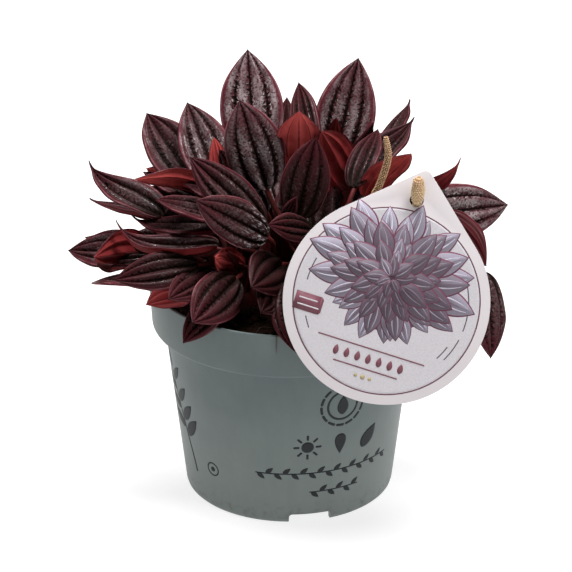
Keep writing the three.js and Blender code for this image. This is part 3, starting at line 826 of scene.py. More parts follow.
# flower spikes
spikeForm = {
    "sides": 14,
    "steps": 14,  # from one point of the stalk to the next
    "tipShares": [0.99, 0.95, 0.85, 0.6],
    "beadSink": 0.22,
    "beadPitch": 1.85,  # in bead radii
    "free": {
        "points": [(34, -12, 21), (34, 11, 25), (34, 34, 30), (38, 44, 36), (41, 54, 42), (40, 63, 45)],
        "radii": [1.1, 1.0, 1.2, 1.45, 1.48, 1.0],
        "beadsFrom": 0.48, "beadsRound": 9, "bead": 0.46, "ripe": 0,
    },
    "through_tag": {
        "points": [(18, -14, 26), (35, 9, 43), (51, 32, 60), (52.1, 35.95, 66.2), (52.2, 37, 69.5),
                   (52.4, 40, 73), (52.5, 44.6, 76.5)],
        "radii": [1.1, 1.2, 1.5, 1.9, 2.55, 2.8, 1.9],
        "beadsFrom": 0.30, "beadsRound": 16, "bead": 0.46, "ripe": 1,
    },
}
spikePaint = {
    "bead": (0.600, 0.360, 0.185), "cream": (0.720, 0.580, 0.350), "between": (0.120, 0.036, 0.012),
    "peach": (0.640, 0.430, 0.250), "stalk": (0.190, 0.075, 0.042),
}


def beadFinish():
    p = spikePaint
    f = Finish("spikeBead")
    share, tone, ripe = f.parts(f.mark("bead"))
    grain = f.noise(f.place(), 3.5, 2)
    skin = (share.ease(0.55, 1.0) * (0.3 + ripe * 0.7)).mix(p["bead"], p["cream"])
    skin = (share.ease(0.93, 0.985) * ripe * 0.8).mix(skin, p["peach"])
    # some beads darker at random; all darker towards the foot, which is painted shade
    skin = (tone * 0.3 + (1 - share.ease(0.4, 0.8)) * 0.35).mix(skin, p["between"])
    skin = (grain.ease(0.45, 0.75) * 0.25).mix(skin, p["between"])
    return f.surface(skin, 0.62 + grain * 0.15, (grain - 0.5) * 0.05)


def spikeCoreFinish():
    p = spikePaint
    f = Finish("spikeCore")
    share, _, ripe = f.parts(f.mark("bead"))
    grain = f.noise(f.place(), 1.6, 3)
    skin = share.ease(0.2, 0.5).mix(p["stalk"], p["between"])
    skin = (ripe * share.ease(0.4, 0.7) * 0.6).mix(skin, p["bead"])
    skin = (grain.ease(0.5, 0.8) * 0.2).mix(skin, p["bead"])
    return f.surface(skin, 0.6 + grain * 0.1, (grain - 0.5) * 0.08)


def beadBall():
    work = bmesh.new()
    bmesh.ops.create_icosphere(work, subdivisions=1, radius=1)
    points = np.array([v.co for v in work.verts])
    faces = [[v.index for v in face.verts] for face in work.faces]
    work.free()
    return points, faces


def makeSpike(kind, finishes):
    form = spikeForm
    s = form[kind]
    bends = [leaning(*p) for p in s["points"]]
    foot = vec(bends[0][0], bends[0][1], crownForm["soilLevel"] - 12)
    path = smoothPath([foot] + bends, form["steps"])
    walked = np.concatenate([[0], np.cumsum(np.linalg.norm(np.diff(path, axis=0), axis=1))])
    knots = np.linspace(0, len(path) - 1, len(s["radii"]) + 1)
    radii = np.interp(np.arange(len(path)), knots, [s["radii"][0]] + s["radii"])
    radii[-4:] *= np.array(form["tipShares"])
    shape = Shape()
    points, faces, _ = loft(tubeRings(path, radii - 0.1, form["sides"]))
    share = np.concatenate([np.repeat(walked / walked[-1], form["sides"]), [0, 1]])
    shape.add(points, faces, 1, bead=np.stack(np.broadcast_arrays(share, 0, s["ripe"]), -1))
    ball, ballFaces = beadBall()
    draws = Draws(31)
    start = s["beadsFrom"] * walked[-1]
    pitch = form["beadPitch"] * s["bead"]
    along = unit(np.gradient(path, axis=0))
    for row in range(int((walked[-1] - start) / pitch) + 1):
        distance = start + row * pitch
        point = np.array([np.interp(distance, walked, path[:, k]) for k in range(3)])
        direction = unit(np.array([np.interp(distance, walked, along[:, k]) for k in range(3)]))
        radius = np.interp(distance, walked, radii)
        side = unit(vec(1, 0, 0) - direction * direction[0])
        other = np.cross(direction, side)
        count = max(3, round(s["beadsRound"] * min(1, radius / max(radii) + 0.12)))
        for k in range(count):
            angle = fullTurn * (k + 0.5 * (row % 2)) / count + draws.jitter(0.05)
            out = side * math.cos(angle) + other * math.sin(angle)
            size = s["bead"] * (1 + draws.jitter(0.12))
            middle = point + out * (radius - form["beadSink"]) + direction * draws.jitter(0.06)
            tone = draws.draw()
            shape.add(middle + ball * size, ballFaces, 0, bead=(distance / walked[-1], tone, s["ripe"]))
    makePiece("spike_" + kind, shape, finishes, ["flower_spike_" + kind])


spikeFinishes = [beadFinish(), spikeCoreFinish()]
makeSpike("free", spikeFinishes)
makeSpike("through_tag", spikeFinishes)
print("flower spikes made")


# pot
potForm = {
    "segments": 168,
    # the wall's section: radius, height
    "outside": [(40.0, 5.0), (40.9, 0.4), (41.2, 0.0), (42.6, 0.0), (43.6, 0.3), (44.4, 1.1),
                (44.8, 2.4), (53.55, 75.3), (53.9, 75.8), (57.9, 75.85), (58.35, 76.0), (58.65, 76.4),
                (58.8, 77.0), (59.95, 94.9), (59.95, 95.5), (59.7, 95.9), (59.4, 96.0)],
    "inside": [(59.0, 95.95), (58.72, 95.6), (58.6, 94.8), (57.35, 77.6), (56.9, 77.1), (52.9, 77.0),
               (52.5, 76.6), (43.4, 8.0), (42.6, 6.9), (41.6, 6.6)],
    "floorUnder": 5.0,
    "floorTop": 6.6,
    "sharp": 28,  # edges steeper than this many degrees stay sharp
    "notchCount": 3, "notchWidth": 18, "notchHeight": 4.5, "notchDepth": 12, "notchTurn": -78.6,
    "notchRound": 1.4,
    "drainCount": 6, "drainRadius": 4.5, "drainCircle": 30, "drainSides": 32, "drainDepth": 12,
    "base": (0.107, 0.134, 0.133), "pale": (0.186, 0.216, 0.206), "dust": (0.105, 0.085, 0.062),
    "speck": (0.045, 0.040, 0.034),
}
(lowWall, lowLevel), (highWall, highLevel) = potForm["outside"][6:8]  # the tapered wall's ends


def potFinish():
    p = potForm
    f = Finish("pottedPlastic")
    where = f.place()
    _, _, height = f.parts(where)
    cloud = f.noise(where, 0.035, 3, 0.55)
    flow = f.noise(where * (1.0, 1.0, 0.16), 0.22, 3, 0.6)
    grain = f.noise(where, 1.4, 2)
    specks = 1 - f.cells(where, 0.11).ease(0.012, 0.030)
    scuffs = f.noise(where * (0.5, 0.5, 2.2), 0.35, 4, 0.7).ease(0.66, 0.78)
    # painted light and shade: the wall is lighter towards the bottom and darker under the leaves at the
    # top
    paintedLowLight = 1 - height.ease(0.0, 80.0)
    skin = (cloud.ease(0.3, 0.75) * 0.25 + paintedLowLight * 0.85 + (flow - 0.5) * 0.3).mix(p["base"], p["pale"])
    skin = (scuffs * 0.22).mix(skin, p["pale"])
    nearFoot = 1 - height.ease(0.0, 14.0)
    nearLip = height.ease(92.5, 95.8)
    dirt = (nearFoot * 0.55 + nearLip * 0.35) * f.noise(where, 0.3, 4, 0.7).ease(0.48, 0.72)
    skin = dirt.mix(skin, p["dust"])
    skin = (specks * 0.8).mix(skin, p["speck"])
    rough = 0.46 + (flow - 0.5) * 0.14 + dirt * 0.25 + (grain - 0.5) * 0.06
    return f.surface(skin, rough, (grain - 0.5) * 0.022 + (flow - 0.5) * 0.10, 0.18)


def cutAway(mesh, cutters):
    # the mesh without the cutters' space
    body = addObject("body", mesh)
    tools = []
    for cutter in cutters:
        tool = addObject("cutter", cutter)
        cut = body.modifiers.new("cut", "BOOLEAN")
        cut.operation = "DIFFERENCE"
        cut.solver = "EXACT"
        cut.object = tool
        tools.append(tool)
    graph = bpy.context.evaluated_depsgraph_get()
    result = bpy.data.meshes.new_from_object(body.evaluated_get(graph))
    for thing in [body, *tools]:
        bpy.data.objects.remove(thing)
    return result


def notchCutter(turn):
    # a block through the foot, with its upper edges rounded
    p = potForm
    deep, wide, high = [p[key] * millimetre for key in ("notchDepth", "notchWidth", "notchHeight")]

    def shapeNotch(work):
        bmesh.ops.create_cube(work, size=1)
        aim = Matrix.Rotation(math.radians(turn), 4, "Z")
        place = Matrix.Translation((lowWall * millimetre, 0, 0))
        work.transform(aim @ place @ Matrix.Diagonal((deep, wide, 2 * high, 1)))
        upper = [edge for edge in work.edges if min(v.co.z for v in edge.verts) > 0
                 and abs(edge.calc_length() - deep) < 0.0005]
        bmesh.ops.bevel(work, geom=upper, offset=p["notchRound"] * millimetre, segments=4,
                        affect="EDGES", profile=0.5)

    return reworked(bpy.data.meshes.new("notch"), shapeNotch)


def drainCutter(turn):
    p = potForm
    middle = ringAt(p["drainCircle"], turn, p["floorUnder"]) * millimetre
    radius = p["drainRadius"] * millimetre

    def shapeDrain(work):
        bmesh.ops.create_cone(work, cap_ends=True, segments=p["drainSides"], radius1=radius,
                              radius2=radius, depth=p["drainDepth"] * millimetre,
                              matrix=Matrix.Translation(middle))

    return reworked(bpy.data.meshes.new("drain"), shapeDrain)


def makePot():
    p = potForm
    rings = [ringAt(radius, evenAngles(p["segments"]), z) for radius, z in p["outside"] + p["inside"]]
    points, faces, _ = loft(rings, vec(0, 0, p["floorUnder"]), vec(0, 0, p["floorTop"]))
    mesh = bpy.data.meshes.new("pot")
    mesh.from_pydata((points * millimetre).tolist(), [], faces)
    notches, drains = p["notchCount"], p["drainCount"]
    cutters = [notchCutter(p["notchTurn"] + 360 / notches * i) for i in range(notches)]
    cutters += [drainCutter(math.radians(360 * (i + 0.5) / drains)) for i in range(drains)]
    mesh = cutAway(reworked(mesh, turnOutward), cutters)
    mesh.materials.clear()
    mesh.materials.append(potFinish())
    seatPiece("pot_shell", mesh, ["pot"], p["sharp"])


makePot()
print("pot made")


# soil
soilForm = {
    "level": 85.0, "rim": 57.4, "rings": 64, "sectors": 150,
    # the hidden foot and side: radius, height
    "foot": [(41.2, 6.95), (42.9, 8.4), (52.1, 77.3), (56.6, 77.9), (57.1, 80)],
    "crumbs": 620, "crumbReach": 55.2, "crumbSize": (0.45, 1.70),
    "fibres": 46, "fibreReach": 52, "fibreLength": (4, 12), "fibreRadii": [0.1, 0.2, 0.06],
    "wallReach": 55.5,  # no fibre gets nearer to the pot's wall
    # one dry root hangs over the pot's lip
    "root": [(-5.0, -56.6, 88), (-5.4, -58.6, 94.6), (-5.45, -59.75, 96.3), (-5.4, -60.2, 94.4),
             (-5.45, -59.95, 91.0), (-5.3, -59.65, 87.9)],
    "rootRadii": [0.24, 0.27, 0.1],
    "dark": (0.0120, 0.0056, 0.0036), "brown": (0.036, 0.0170, 0.0100), "fibre": (0.110, 0.062, 0.034),
}


def soilFinish():
    p = soilForm
    f = Finish("peat")
    where = f.place()
    lump = f.noise(where, 0.28, 4, 0.65)
    grain = f.noise(where, 1.3, 4, 0.7)
    skin = (lump.ease(0.4, 0.7) * 0.5 + grain.ease(0.5, 0.8) * 0.4).mix(p["dark"], p["brown"])
    return f.surface(skin, 0.9 + (grain - 0.5) * 0.2, (lump - 0.5) * 0.6 + (grain - 0.5) * 0.35, 0.05)


def fibreFinish():
    p = soilForm
    f = Finish("peatFibre")
    grain = f.noise(f.place(), 1.1, 3)
    skin = grain.ease(0.3, 0.7).mix(p["brown"], p["fibre"])
    return f.surface(skin, 0.7 + grain * 0.15, (grain - 0.5) * 0.1)


def soilHeight(x, y):
    bed = soilForm["level"] + 0.35 + 1.0 * noise.noise(Vector((x * 0.07, y * 0.07, 1.0)))
    lumps = 0.9 * noise.noise(Vector((x * 0.24, y * 0.24, 5.0)))
    return bed + lumps + 0.45 * noise.noise(Vector((x * 0.7, y * 0.7, 9.0)))


def anySpot(draws, reach):
    # an even draw of a place within this radius
    radius, turn = reach * math.sqrt(draws.draw()), fullTurn * draws.draw()
    return radius * math.cos(turn), radius * math.sin(turn)


def addFibre(shape, path, radii, knots, sides):
    points, faces, _ = loft(tubeRings(path, np.interp(np.arange(len(path)), knots, radii), sides))
    shape.add(points, faces, 1)


def makeSoil():
    p = soilForm
    angles = evenAngles(p["sectors"])
    rings = [ringAt(radius, angles, z) for radius, z in p["foot"]]
    for i in range(p["rings"]):
        ring = ringAt(p["rim"] * (1 - (i / p["rings"]) ** 1.15), angles, 0.0)
        ring[:, 2] = [soilHeight(x, y) for x, y, _ in ring]
        rings.append(ring)
    points, faces, _ = loft(rings, vec(0, 0, p["foot"][0][1]), vec(0, 0, soilHeight(0, 0)))
    bed = Shape()
    bed.add(points, faces)
    makePiece("soil_bed", bed, [soilFinish()], ["soil"])


def makeCrumbs():
    p = soilForm
    draws = Draws(77)
    crumbs = Shape()
    ball, ballFaces = beadBall()
    small, large = p["crumbSize"]
    for _ in range(p["crumbs"]):
        x, y = anySpot(draws, p["crumbReach"])
        size = small + (large - small) * draws.draw() ** 2.2
        stretch = vec(1 + draws.jitter(0.35), 1 + draws.jitter(0.35), 0.7 + draws.jitter(0.2))
        seed = draws.draw() * 50
        rough = np.array([1 + 0.45 * noise.noise(Vector(v * 1.7) + Vector((seed, 0, 0))) for v in ball])
        points = ball * rough[:, None] * size * stretch
        crumbs.add(points + vec(x, y, soilHeight(x, y) + 0.3 * size), ballFaces)
    short, long = p["fibreLength"]
    for _ in range(p["fibres"]):
        x, y = anySpot(draws, p["fibreReach"])
        heading, length = fullTurn * draws.draw(), short + (long - short) * draws.draw()
        curl = draws.jitter(1.4)
        path = []
        for i in range(9):
            path.append(vec(x, y, soilHeight(x, y) + 0.35 + 0.5 * math.sin(math.pi * i / 8)))
            x += length / 8 * math.cos(heading + curl * i / 8)
            y += length / 8 * math.sin(heading + curl * i / 8)
            x, y = np.array([x, y]) * min(1, p["wallReach"] / max(1e-6, math.hypot(x, y)))
        addFibre(crumbs, path, p["fibreRadii"], [0, 4, 8], 6)
    addFibre(crumbs, smoothPath(p["root"], 5), p["rootRadii"], [0, 8, 25], 7)
    makePiece("soil_crumbs", crumbs, [soilFinish(), fibreFinish()])


makeSoil()
makeCrumbs()
print("soil made")


# tag
tagForm = {
    "radius": 42.5, "thickness": 0.7, "holeRadius": 2.9, "cornerRadius": 3.0, "bevel": 0.1,
    "middle": (39.7, -5.3), "corner": (56.5, 47.8), "hole": (52.1, 36.0),
    "near": 66.2, "leanAcross": 0.01, "leanUp": 0.015,
    "sharp": 30,  # edges steeper than this many degrees stay sharp
    "card": (0.620, 0.575, 0.588), "shade": (0.560, 0.522, 0.538),
}
toCorner = np.array(tagForm["corner"]) - np.array(tagForm["middle"])
toHole = np.array(tagForm["hole"]) - np.array(tagForm["middle"])
tagAim = math.atan2(toCorner[1], toCorner[0])


def tagMatrix():
    t = tagForm
    x = unit(vec(1, 0, 0) + nearAxis * t["leanAcross"])
    z = unit(np.cross(x, upAxis + nearAxis * t["leanUp"]))
    depth = t["near"] - t["leanAcross"] * toHole[0] - t["leanUp"] * toHole[1]
    return np.stack([x, np.cross(z, x), z], 1), leaning(*t["middle"], depth)


tagTurn, tagOrigin = tagMatrix()


def onTag(flat):
    # (x, y, height over the printed face), with y towards the tag's corner, to the part's frame
    flat = np.asarray(flat, float)
    turn = tagAim - math.pi / 2
    x = flat[..., 0] * math.cos(turn) - flat[..., 1] * math.sin(turn)
    y = flat[..., 0] * math.sin(turn) + flat[..., 1] * math.cos(turn)
    return np.stack([x, y, flat[..., 2] + tagForm["thickness"]], -1) @ tagTurn.T + tagOrigin


def arcPoints(middle, radius, start, stop, steps):
    return ringAt(radius, np.linspace(start, stop, steps), 0, middle)[:, :2]


def circle(middle, radius, count):
    return arcPoints(middle, radius, 0, fullTurn, count + 1)[:-1]


def tagFinish():
    t = tagForm
    f = Finish("tagCard")
    where = f.place()
    cloud = f.noise(where, 0.06, 2)
    grain = f.noise(where, 2.4, 2)
    skin = (cloud.ease(0.3, 0.7) * 0.35 + (grain - 0.5) * 0.12).mix(t["card"], t["shade"])
    return f.surface(skin, 0.42 + (cloud - 0.5) * 0.1, (cloud - 0.5) * 0.12 + (grain - 0.5) * 0.012, 0.2)


def makeTag():
    t = tagForm
    distance = np.linalg.norm(toCorner) - t["cornerRadius"]
    opening = math.acos((t["radius"] - t["cornerRadius"]) / distance)
    corner = toCorner / np.linalg.norm(toCorner) * distance
    rim = np.concatenate([
        arcPoints((0, 0), t["radius"] - t["bevel"], tagAim + opening, tagAim - opening + fullTurn, 150),
        arcPoints(corner, t["cornerRadius"] - t["bevel"], tagAim - opening, tagAim + opening, 16)])
    curve = bpy.data.curves.new("tagCurve", "CURVE")
    curve.dimensions = "2D"
    curve.fill_mode = "BOTH"
    for loop in (rim, circle(toHole, t["holeRadius"] + t["bevel"], 48)):
        spline = curve.splines.new("POLY")
        spline.points.add(len(loop) - 1)
        for point, (x, y) in zip(spline.points, loop):
            point.co = (x * millimetre, y * millimetre, 0, 1)
        spline.use_cyclic_u = True
    curve.extrude = (t["thickness"] / 2 - t["bevel"]) * millimetre
    curve.bevel_depth = t["bevel"] * millimetre
    curve.bevel_resolution = 2
    shell = addObject("tagCurve", curve)
    graph = bpy.context.evaluated_depsgraph_get()
    mesh = bpy.data.meshes.new_from_object(shell.evaluated_get(graph))
    bpy.data.objects.remove(shell)
    middle = tagOrigin + tagTurn[:, 2] * t["thickness"] / 2
    mesh.transform(Matrix.Translation(Vector(middle * millimetre)) @ Matrix(tagTurn.tolist()).to_4x4())
    reworked(mesh, lambda work: bmesh.ops.remove_doubles(work, verts=work.verts, dist=1e-6))
    mesh.materials.clear()
    mesh.materials.append(tagFinish())
    seatPiece("tag_card", mesh, ["tag"], t["sharp"])


makeTag()


# printed marks
def raised(flat, height):
    return np.column_stack([flat, np.full(len(flat), height)])


def pointedOval(length, width, turn, at=(0, 0), steps=14):
    # the outline of a simple pointed leaf that starts at a point, its heart and its turn
    widest = 0.42
    t = np.linspace(0, 1, steps)
    half = width / 2 * np.where(t < widest, np.clip(1 - (1 - t / widest) ** 2, 0, 1) ** 0.6,
                                1 - np.clip((t - widest) / (1 - widest), 0, 1) ** 1.8)
    flat = np.concatenate([np.stack([length * t, half], -1), np.stack([length * t, -half], -1)[-2:0:-1]])
    spin = np.array([[math.cos(turn), math.sin(turn)], [-math.sin(turn), math.cos(turn)]])
    return flat @ spin + at, np.array([length * widest, 0]) @ spin + at, spin


class Pen:
    # lays thin closed films of ink, from a little under a surface to a little over it
    def __init__(self, shape, surface, low, high):
        self.shape, self.surface, self.low, self.high = shape, surface, low, high

    def film(self, rim, heart, tint, heartTint=None, rings=1, lift=0):
        # a filled outline that every point of can be seen from its heart; rings is a count or shares
        rim, heart = np.asarray(rim, float), np.asarray(heart, float)
        tint, heartTint = np.asarray(tint), np.asarray(tint if heartTint is None else heartTint)
        high = self.high + lift
        shares = rings if isinstance(rings, list) else list(np.linspace(0, 1, rings + 1)[1:])
        levels = [heart + (rim - heart) * s for s in shares]
        sheets = [raised(level, high) for level in levels]
        sheets += [raised(level, self.low) for level in levels[::-1]]
        points, faces, _ = loft(sheets, vec(*heart, high), vec(*heart, self.low))
        tints = [heartTint * (1 - s) + tint * s for s in shares + shares[::-1]]
        colours = np.concatenate([np.repeat([c], len(rim), 0) for c in tints] + [[heartTint, heartTint]])
        self.shape.add(self.surface(points), faces, ink=colours)

    def line(self, path, width, tint, caps=True, lift=0):
        # a line of ink, with round ends where caps is set
        path = np.asarray(path, float)
        high = self.high + lift
        widths = np.broadcast_to(np.asarray(width, float), (len(path),)).copy()
        along = unit(np.gradient(path, axis=0))
        if caps:
            turns = np.array([0.25, 0.6, 0.88]) * math.pi / 2
            start = path[0] - along[0] * (widths[0] / 2) * np.cos(turns)[:, None]
            stop = path[-1] + along[-1] * (widths[-1] / 2) * np.cos(turns)[::-1, None]
            path = np.concatenate([start, path, stop])
            along = np.concatenate([np.repeat(along[:1], 3, 0), along, np.repeat(along[-1:], 3, 0)])
            ends = np.sin(turns)
            widths = np.concatenate([widths[0] * ends, widths, widths[-1] * ends[::-1]])
        side = np.stack([-along[:, 1], along[:, 0]], -1) * widths[:, None] / 2
        left, right = path + side, path - side
        points, faces, _ = loft(np.stack([raised(left, high), raised(right, high),
                                          raised(right, self.low), raised(left, self.low)], 1))
        self.shape.add(self.surface(points), faces, ink=tint)

    def rule(self, start, stop, level, count, width, tint, caps=True):
        self.line([(x, level) for x in np.linspace(start, stop, count)], width, tint, caps)

    def ring(self, radius, width, tint, steps):
        self.line(arcPoints((0, 0), radius, 0, fullTurn, steps), width, tint, False)

    def disc(self, middle, radius, tint, count, rings=1, heartTint=None):
        self.film(circle(middle, radius, count), middle, tint, heartTint, rings)

    def leaf(self, length, width, turn, at, tint, steps=14, rings=1):
        rim, heart, _ = pointedOval(length, width, turn, at, steps)
        self.film(rim, heart, tint, rings=rings)


def inkFinish(name, gloss, shine):
    f = Finish(name)
    grain = f.noise(f.place(), 1.6, 3)
    skin = f.node("ShaderNodeMix", {"data_type": "RGBA", "blend_type": "MULTIPLY"},
                  {0: grain.ease(0.35, 0.7) * 0.35, 6: f.mark("ink"), 7: (0.72, 0.70, 0.72)}, 2)
    return f.surface(skin, gloss + grain * 0.1, (grain - 0.5) * 0.01, shine)


tagPrint = {
    "ring": (0.130, 0.060, 0.080), "slate": (0.105, 0.100, 0.115), "field": (0.545, 0.522, 0.548),
    "plum": (0.175, 0.065, 0.085), "gold": (0.420, 0.340, 0.190),
    "petalDark": (0.060, 0.040, 0.056), "petalMid": (0.172, 0.134, 0.172),
    "petalPale": (0.390, 0.370, 0.450), "petalRim": (0.150, 0.045, 0.075), "vein": (0.600, 0.590, 0.680),
    "low": -0.02, "fieldHigh": 0.012, "high": 0.02,
    "petalStep": 0.0016,  # from one petal up to the next, with its fill and its stripes between
    "fieldRadius": 38.3, "ringWidth": 0.55, "arcWidth": 0.5,
    # radius, first and last degree
    "arcs": [(33.6, 118, 150), (33.6, 166, 182), (33.6, 208, 216), (33.6, -4, 38), (33.6, -28, -11),
             (31.2, -31, -20)],
    "heart": (-1.0, 9.5),
    "heartRadius": 22,
    # how many, foot radius, length, width, first turn, share of pale
    "whorls": [(17, 17, 18.5, 10.0, 4, 0.80), (15, 13.5, 18.0, 10.0, 13, 0.58),
               (13, 10, 16.5, 9.2, 0, 0.38), (12, 7, 14.5, 8.6, 9, 0.24),
               (10, 4, 12.5, 7.6, 20, 0.12), (8, 1.4, 10.0, 6.2, 5, 0.05)],
    "rules": [(45, -20.6), (27, -29.2)],  # length, height
    "ruleWidth": 0.5,
    "rowLeaves": 7, "rowLeaf": (4.2, 2.3), "rowStep": 4.6, "rowLevel": -27.0,
    "dots": [(-3, 0.75), (0, 1.0), (3, 0.75)], "dotLevel": -32.6,  # place, radius
    # a plain label at the edge: its ends, the end of its round corner, its middle's height and its width
    "label": (-36.2, -25.6, -24.4, -10.2, 7.4),
    "labelCorner": [7.4, 7.1, 6.4, 5.2],
    "labelRules": [(-8.8, -27.0), (-11.6, -25.8)], "labelRuleWidth": 0.55,  # height, end
}


def addPetal(pen, draws, turn, foot, length, width, share):
    p = tagPrint
    pale, mid, deep, vein = [np.array(p[key]) for key in ("petalPale", "petalMid", "petalDark", "vein")]
    aim = np.array([math.cos(turn), math.sin(turn)])
    # petals at the top and bottom start further in and are shorter
    inward = 0.84 if aim[1] < -0.4 else 0.9 if aim[1] > 0.9 else 1
    shorter = 0.72 if aim[1] < -0.55 else 0.84 if aim[1] > 0.9 else 1
    at = np.array(p["heart"]) + aim * (foot + draws.jitter(1.3)) * inward
    size = (1 + draws.jitter(0.15)) * shorter
    turn += math.radians(draws.jitter(9))
    light = float(np.clip(share + 0.16 * aim[1] - 0.12 * aim[0] + draws.jitter(0.22), 0, 1))
    fill = deep * (1 - light) * 0.5 + mid * (0.5 + 0.5 * light - light ** 2) + pale * light ** 2
    atFoot = deep * (1 - 0.6 * light) + mid * 0.6 * light
    pen.leaf(length * size, width * size, turn, at, p["petalRim"])
    inner, _, spin = pointedOval(length * size * 0.95, width * size * 0.88, turn,
                                 at + 0.02 * length * aim)
    pen.film(inner, at + aim * length * size * 0.2, fill, atFoot, lift=p["petalStep"] * 0.5)
    t = np.linspace(0.1, 0.86, 9)
    for stripe in (-0.5, 0, 0.5):
        bow = stripe * width * 0.62 * size / 2 * np.sin(math.pi * t) ** 0.8
        path = np.stack([t * length * size * 0.95, bow], -1) @ spin + at
        tint = vein * light + mid * (1 - light) if stripe else deep * 0.6 + mid * 0.4
        widths = np.interp(t, [0, 0.4, 1], [0.12, 0.62 if stripe else 0.3, 0.08])
        pen.line(path, widths, tint, False, p["petalStep"] * 0.75)


def makeTagPrint():
    p = tagPrint
    shape = Shape()
    draws = Draws(5)
    pen = Pen(shape, onTag, p["low"], p["fieldHigh"])
    pen.disc((0, 0), p["fieldRadius"], p["field"], 120, [0.5, 0.97, 1])
    pen.high = p["high"]
    pen.ring(p["fieldRadius"], p["ringWidth"], p["ring"], 161)
    for radius, start, stop in p["arcs"]:
        path = arcPoints((0, 0), radius, math.radians(start), math.radians(stop), 30)
        pen.line(path, p["arcWidth"], p["slate"])
    pen.disc(p["heart"], p["heartRadius"], np.array(p["petalMid"]) * 0.7, 48, 3, p["petalDark"])
    for count, foot, length, width, first, share in p["whorls"]:
        for i in range(count):
            pen.high += p["petalStep"]
            turn = math.radians(first + 360 * i / count + draws.jitter(8))
            addPetal(pen, draws, turn, foot, length, width, share)
    pen.high += 0.006
    for length, level in p["rules"]:
        pen.rule(-length / 2, length / 2, level, 5, p["ruleWidth"], p["plum"])
    for i in range(p["rowLeaves"]):
        at = ((i - p["rowLeaves"] // 2) * p["rowStep"], p["rowLevel"])
        pen.leaf(*p["rowLeaf"], math.pi / 2, at, p["plum"])
    for x, radius in p["dots"]:
        pen.disc((x, p["dotLevel"]), radius, p["gold"], 16)
    start, bend, stop, level, width = p["label"]
    pen.rule(start, bend, level, 4, width, p["plum"], False)
    pen.rule(bend, stop, level, 4, p["labelCorner"], p["plum"], False)
    for y, x in p["labelRules"]:
        pen.line([(-34.4, y), (-30, y), (x, y)], p["labelRuleWidth"], p["field"], lift=0.004)
    makePiece("tag_print", shape, [inkFinish("tagInk", 0.42, 0.16)])


makeTagPrint()
print("tag made")


potPrint = {
    "ink": (0.016, 0.019, 0.022),
    "low": -0.05, "high": 0.035,
    "wallSlope": 0.12,  # millimetres outward for each one up
    # degrees round from the front, height
    "symbols": (26.5, 38.4), "ring": (26.0, 57.3), "sprig": (-66.0, 15.0), "smallRing": (-43.9, 20.5),
    # a garland and a short row of leaves: degrees, height, leaves, millimetres between them
    "garlands": [(20.5, 25.2, 17, 3.7), (24.5, 15.6, 6, 3.7)],
    "sprigLeaves": (0.36, 0.44, 0.53, 0.62, 0.71, 0.8, 0.9),  # their places along the stem
}


def onPot(flat):
    # (degrees round from the front, height, millimetres over the wall) to the part's frame
    flat = np.asarray(flat, float)
    z = flat[..., 1]
    wall = lowWall + (z - lowLevel) * (highWall - lowWall) / (highLevel - lowLevel)
    radius = wall * math.cos(math.pi / potForm["segments"]) + flat[..., 2]
    return ringAt(radius, np.radians(flat[..., 0] - 90), z)


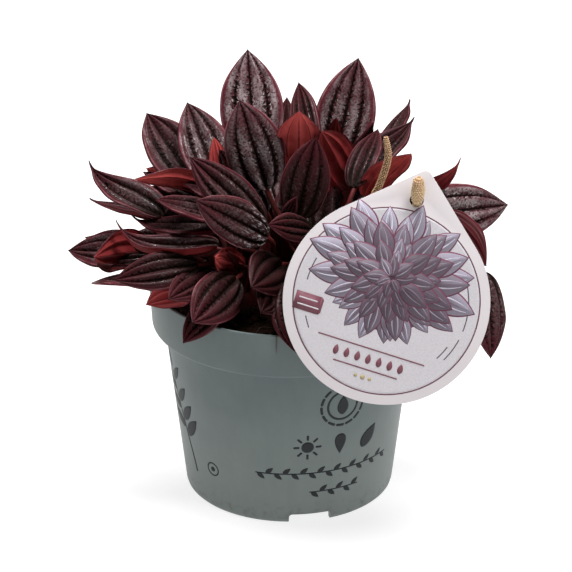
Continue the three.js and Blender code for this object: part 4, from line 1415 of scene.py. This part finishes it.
def makePotPrint():
    p = potPrint
    ink = p["ink"]
    shape = Shape()

    def penAt(turn, level):
        # draws in flat millimetres round a spot on the wall
        radius = lowWall + (level - lowLevel) * p["wallSlope"]

        def surface(flat):
            return onPot(np.stack([turn + np.degrees(flat[..., 0] / radius), level + flat[..., 1],
                                   flat[..., 2]], -1))

        return Pen(shape, surface, p["low"], p["high"])

    def leaf(pen, length, width, degrees, at):
        pen.leaf(length, width, math.radians(degrees), at, ink, 18, 4)

    # sun, drop and leaf
    pen = penAt(*p["symbols"])
    pen.disc((-15, 0), 2.7, ink, 36, 4)
    for turn in evenAngles(8):
        ray = np.array([math.cos(turn), math.sin(turn)])
        pen.line([ray * r + (-15, 0) for r in np.linspace(3.9, 5.6, 3)], 1.0, ink)
    t = evenAngles(36)
    drop = np.stack([3.5 * np.sin(t) * np.sin(t / 2) ** 1.1, -5.0 * np.cos(t) - 0.2], -1)
    pen.film(drop + (-0.5, 0), (-0.5, 1.2), ink, rings=4)
    leaf(pen, 12, 6.6, 54, (10.6, -5.2))
    for turn, level, count, step in p["garlands"]:
        pen = penAt(turn, level)
        reach = step * count / 2
        pen.rule(-reach, reach, 0, 4 * count, 0.6, ink)
        for i in range(count):
            leaf(pen, 4.3, 2.1, 42 if i % 2 else -42, (step * (i + 0.5) - reach - 1.2, 0))
    # a ring of dashes round a plain leaf
    pen = penAt(*p["ring"])
    for turn in evenAngles(14):
        pen.line(arcPoints((0, 0), 9.7, turn, turn + 0.28, 6), 1.2, ink)
    pen.ring(6.8, 1.0, ink, 49)
    leaf(pen, 9.4, 5.2, 90, (0, -4.6))
    # a sprig of plain leaves
    pen = penAt(*p["sprig"])
    t = np.linspace(0, 1, 40)
    stem = np.stack([6 - 14 * t ** 1.15, 44 * t], -1)
    pen.line(stem, np.interp(t, [0, 1], [1.3, 0.6]), ink)
    for i, share in enumerate(p["sprigLeaves"]):
        size = 1.25 - 0.45 * share
        leaf(pen, 12.5 * size, 4.8 * size, 106 + (52 if i % 2 else -56), stem[int(share * 39)])
    leaf(pen, 12.5 * 0.75, 4.8 * 0.75, 106, stem[-1])
    # a small ring with a dot
    pen = penAt(*p["smallRing"])
    pen.ring(3.0, 0.7, ink, 41)
    pen.disc((0, 0), 1.2, ink, 20, 2)
    makePiece("pot_print", shape, [inkFinish("potInk", 0.5, 0.2)])


makePotPrint()
print("prints made")


# floor
def makeFloor():
    reach = studio["floorReach"]
    mesh = bpy.data.meshes.new("floor")
    corners = [(-reach, -reach, 0), (reach, -reach, 0), (reach, reach, 0), (-reach, reach, 0)]
    mesh.from_pydata(corners, [], [(0, 1, 2, 3)])
    glow = {"Emission Color": (1, 1, 1), "Emission Strength": studio["floorGlow"]}
    mesh.materials.append(Finish("paleFloor").surface(studio["floorTone"], 0.9, specular=0.1, more=glow))
    floor = addObject("floor", mesh)


makeFloor()
print("floor laid")

bpy.context.view_layer.update()
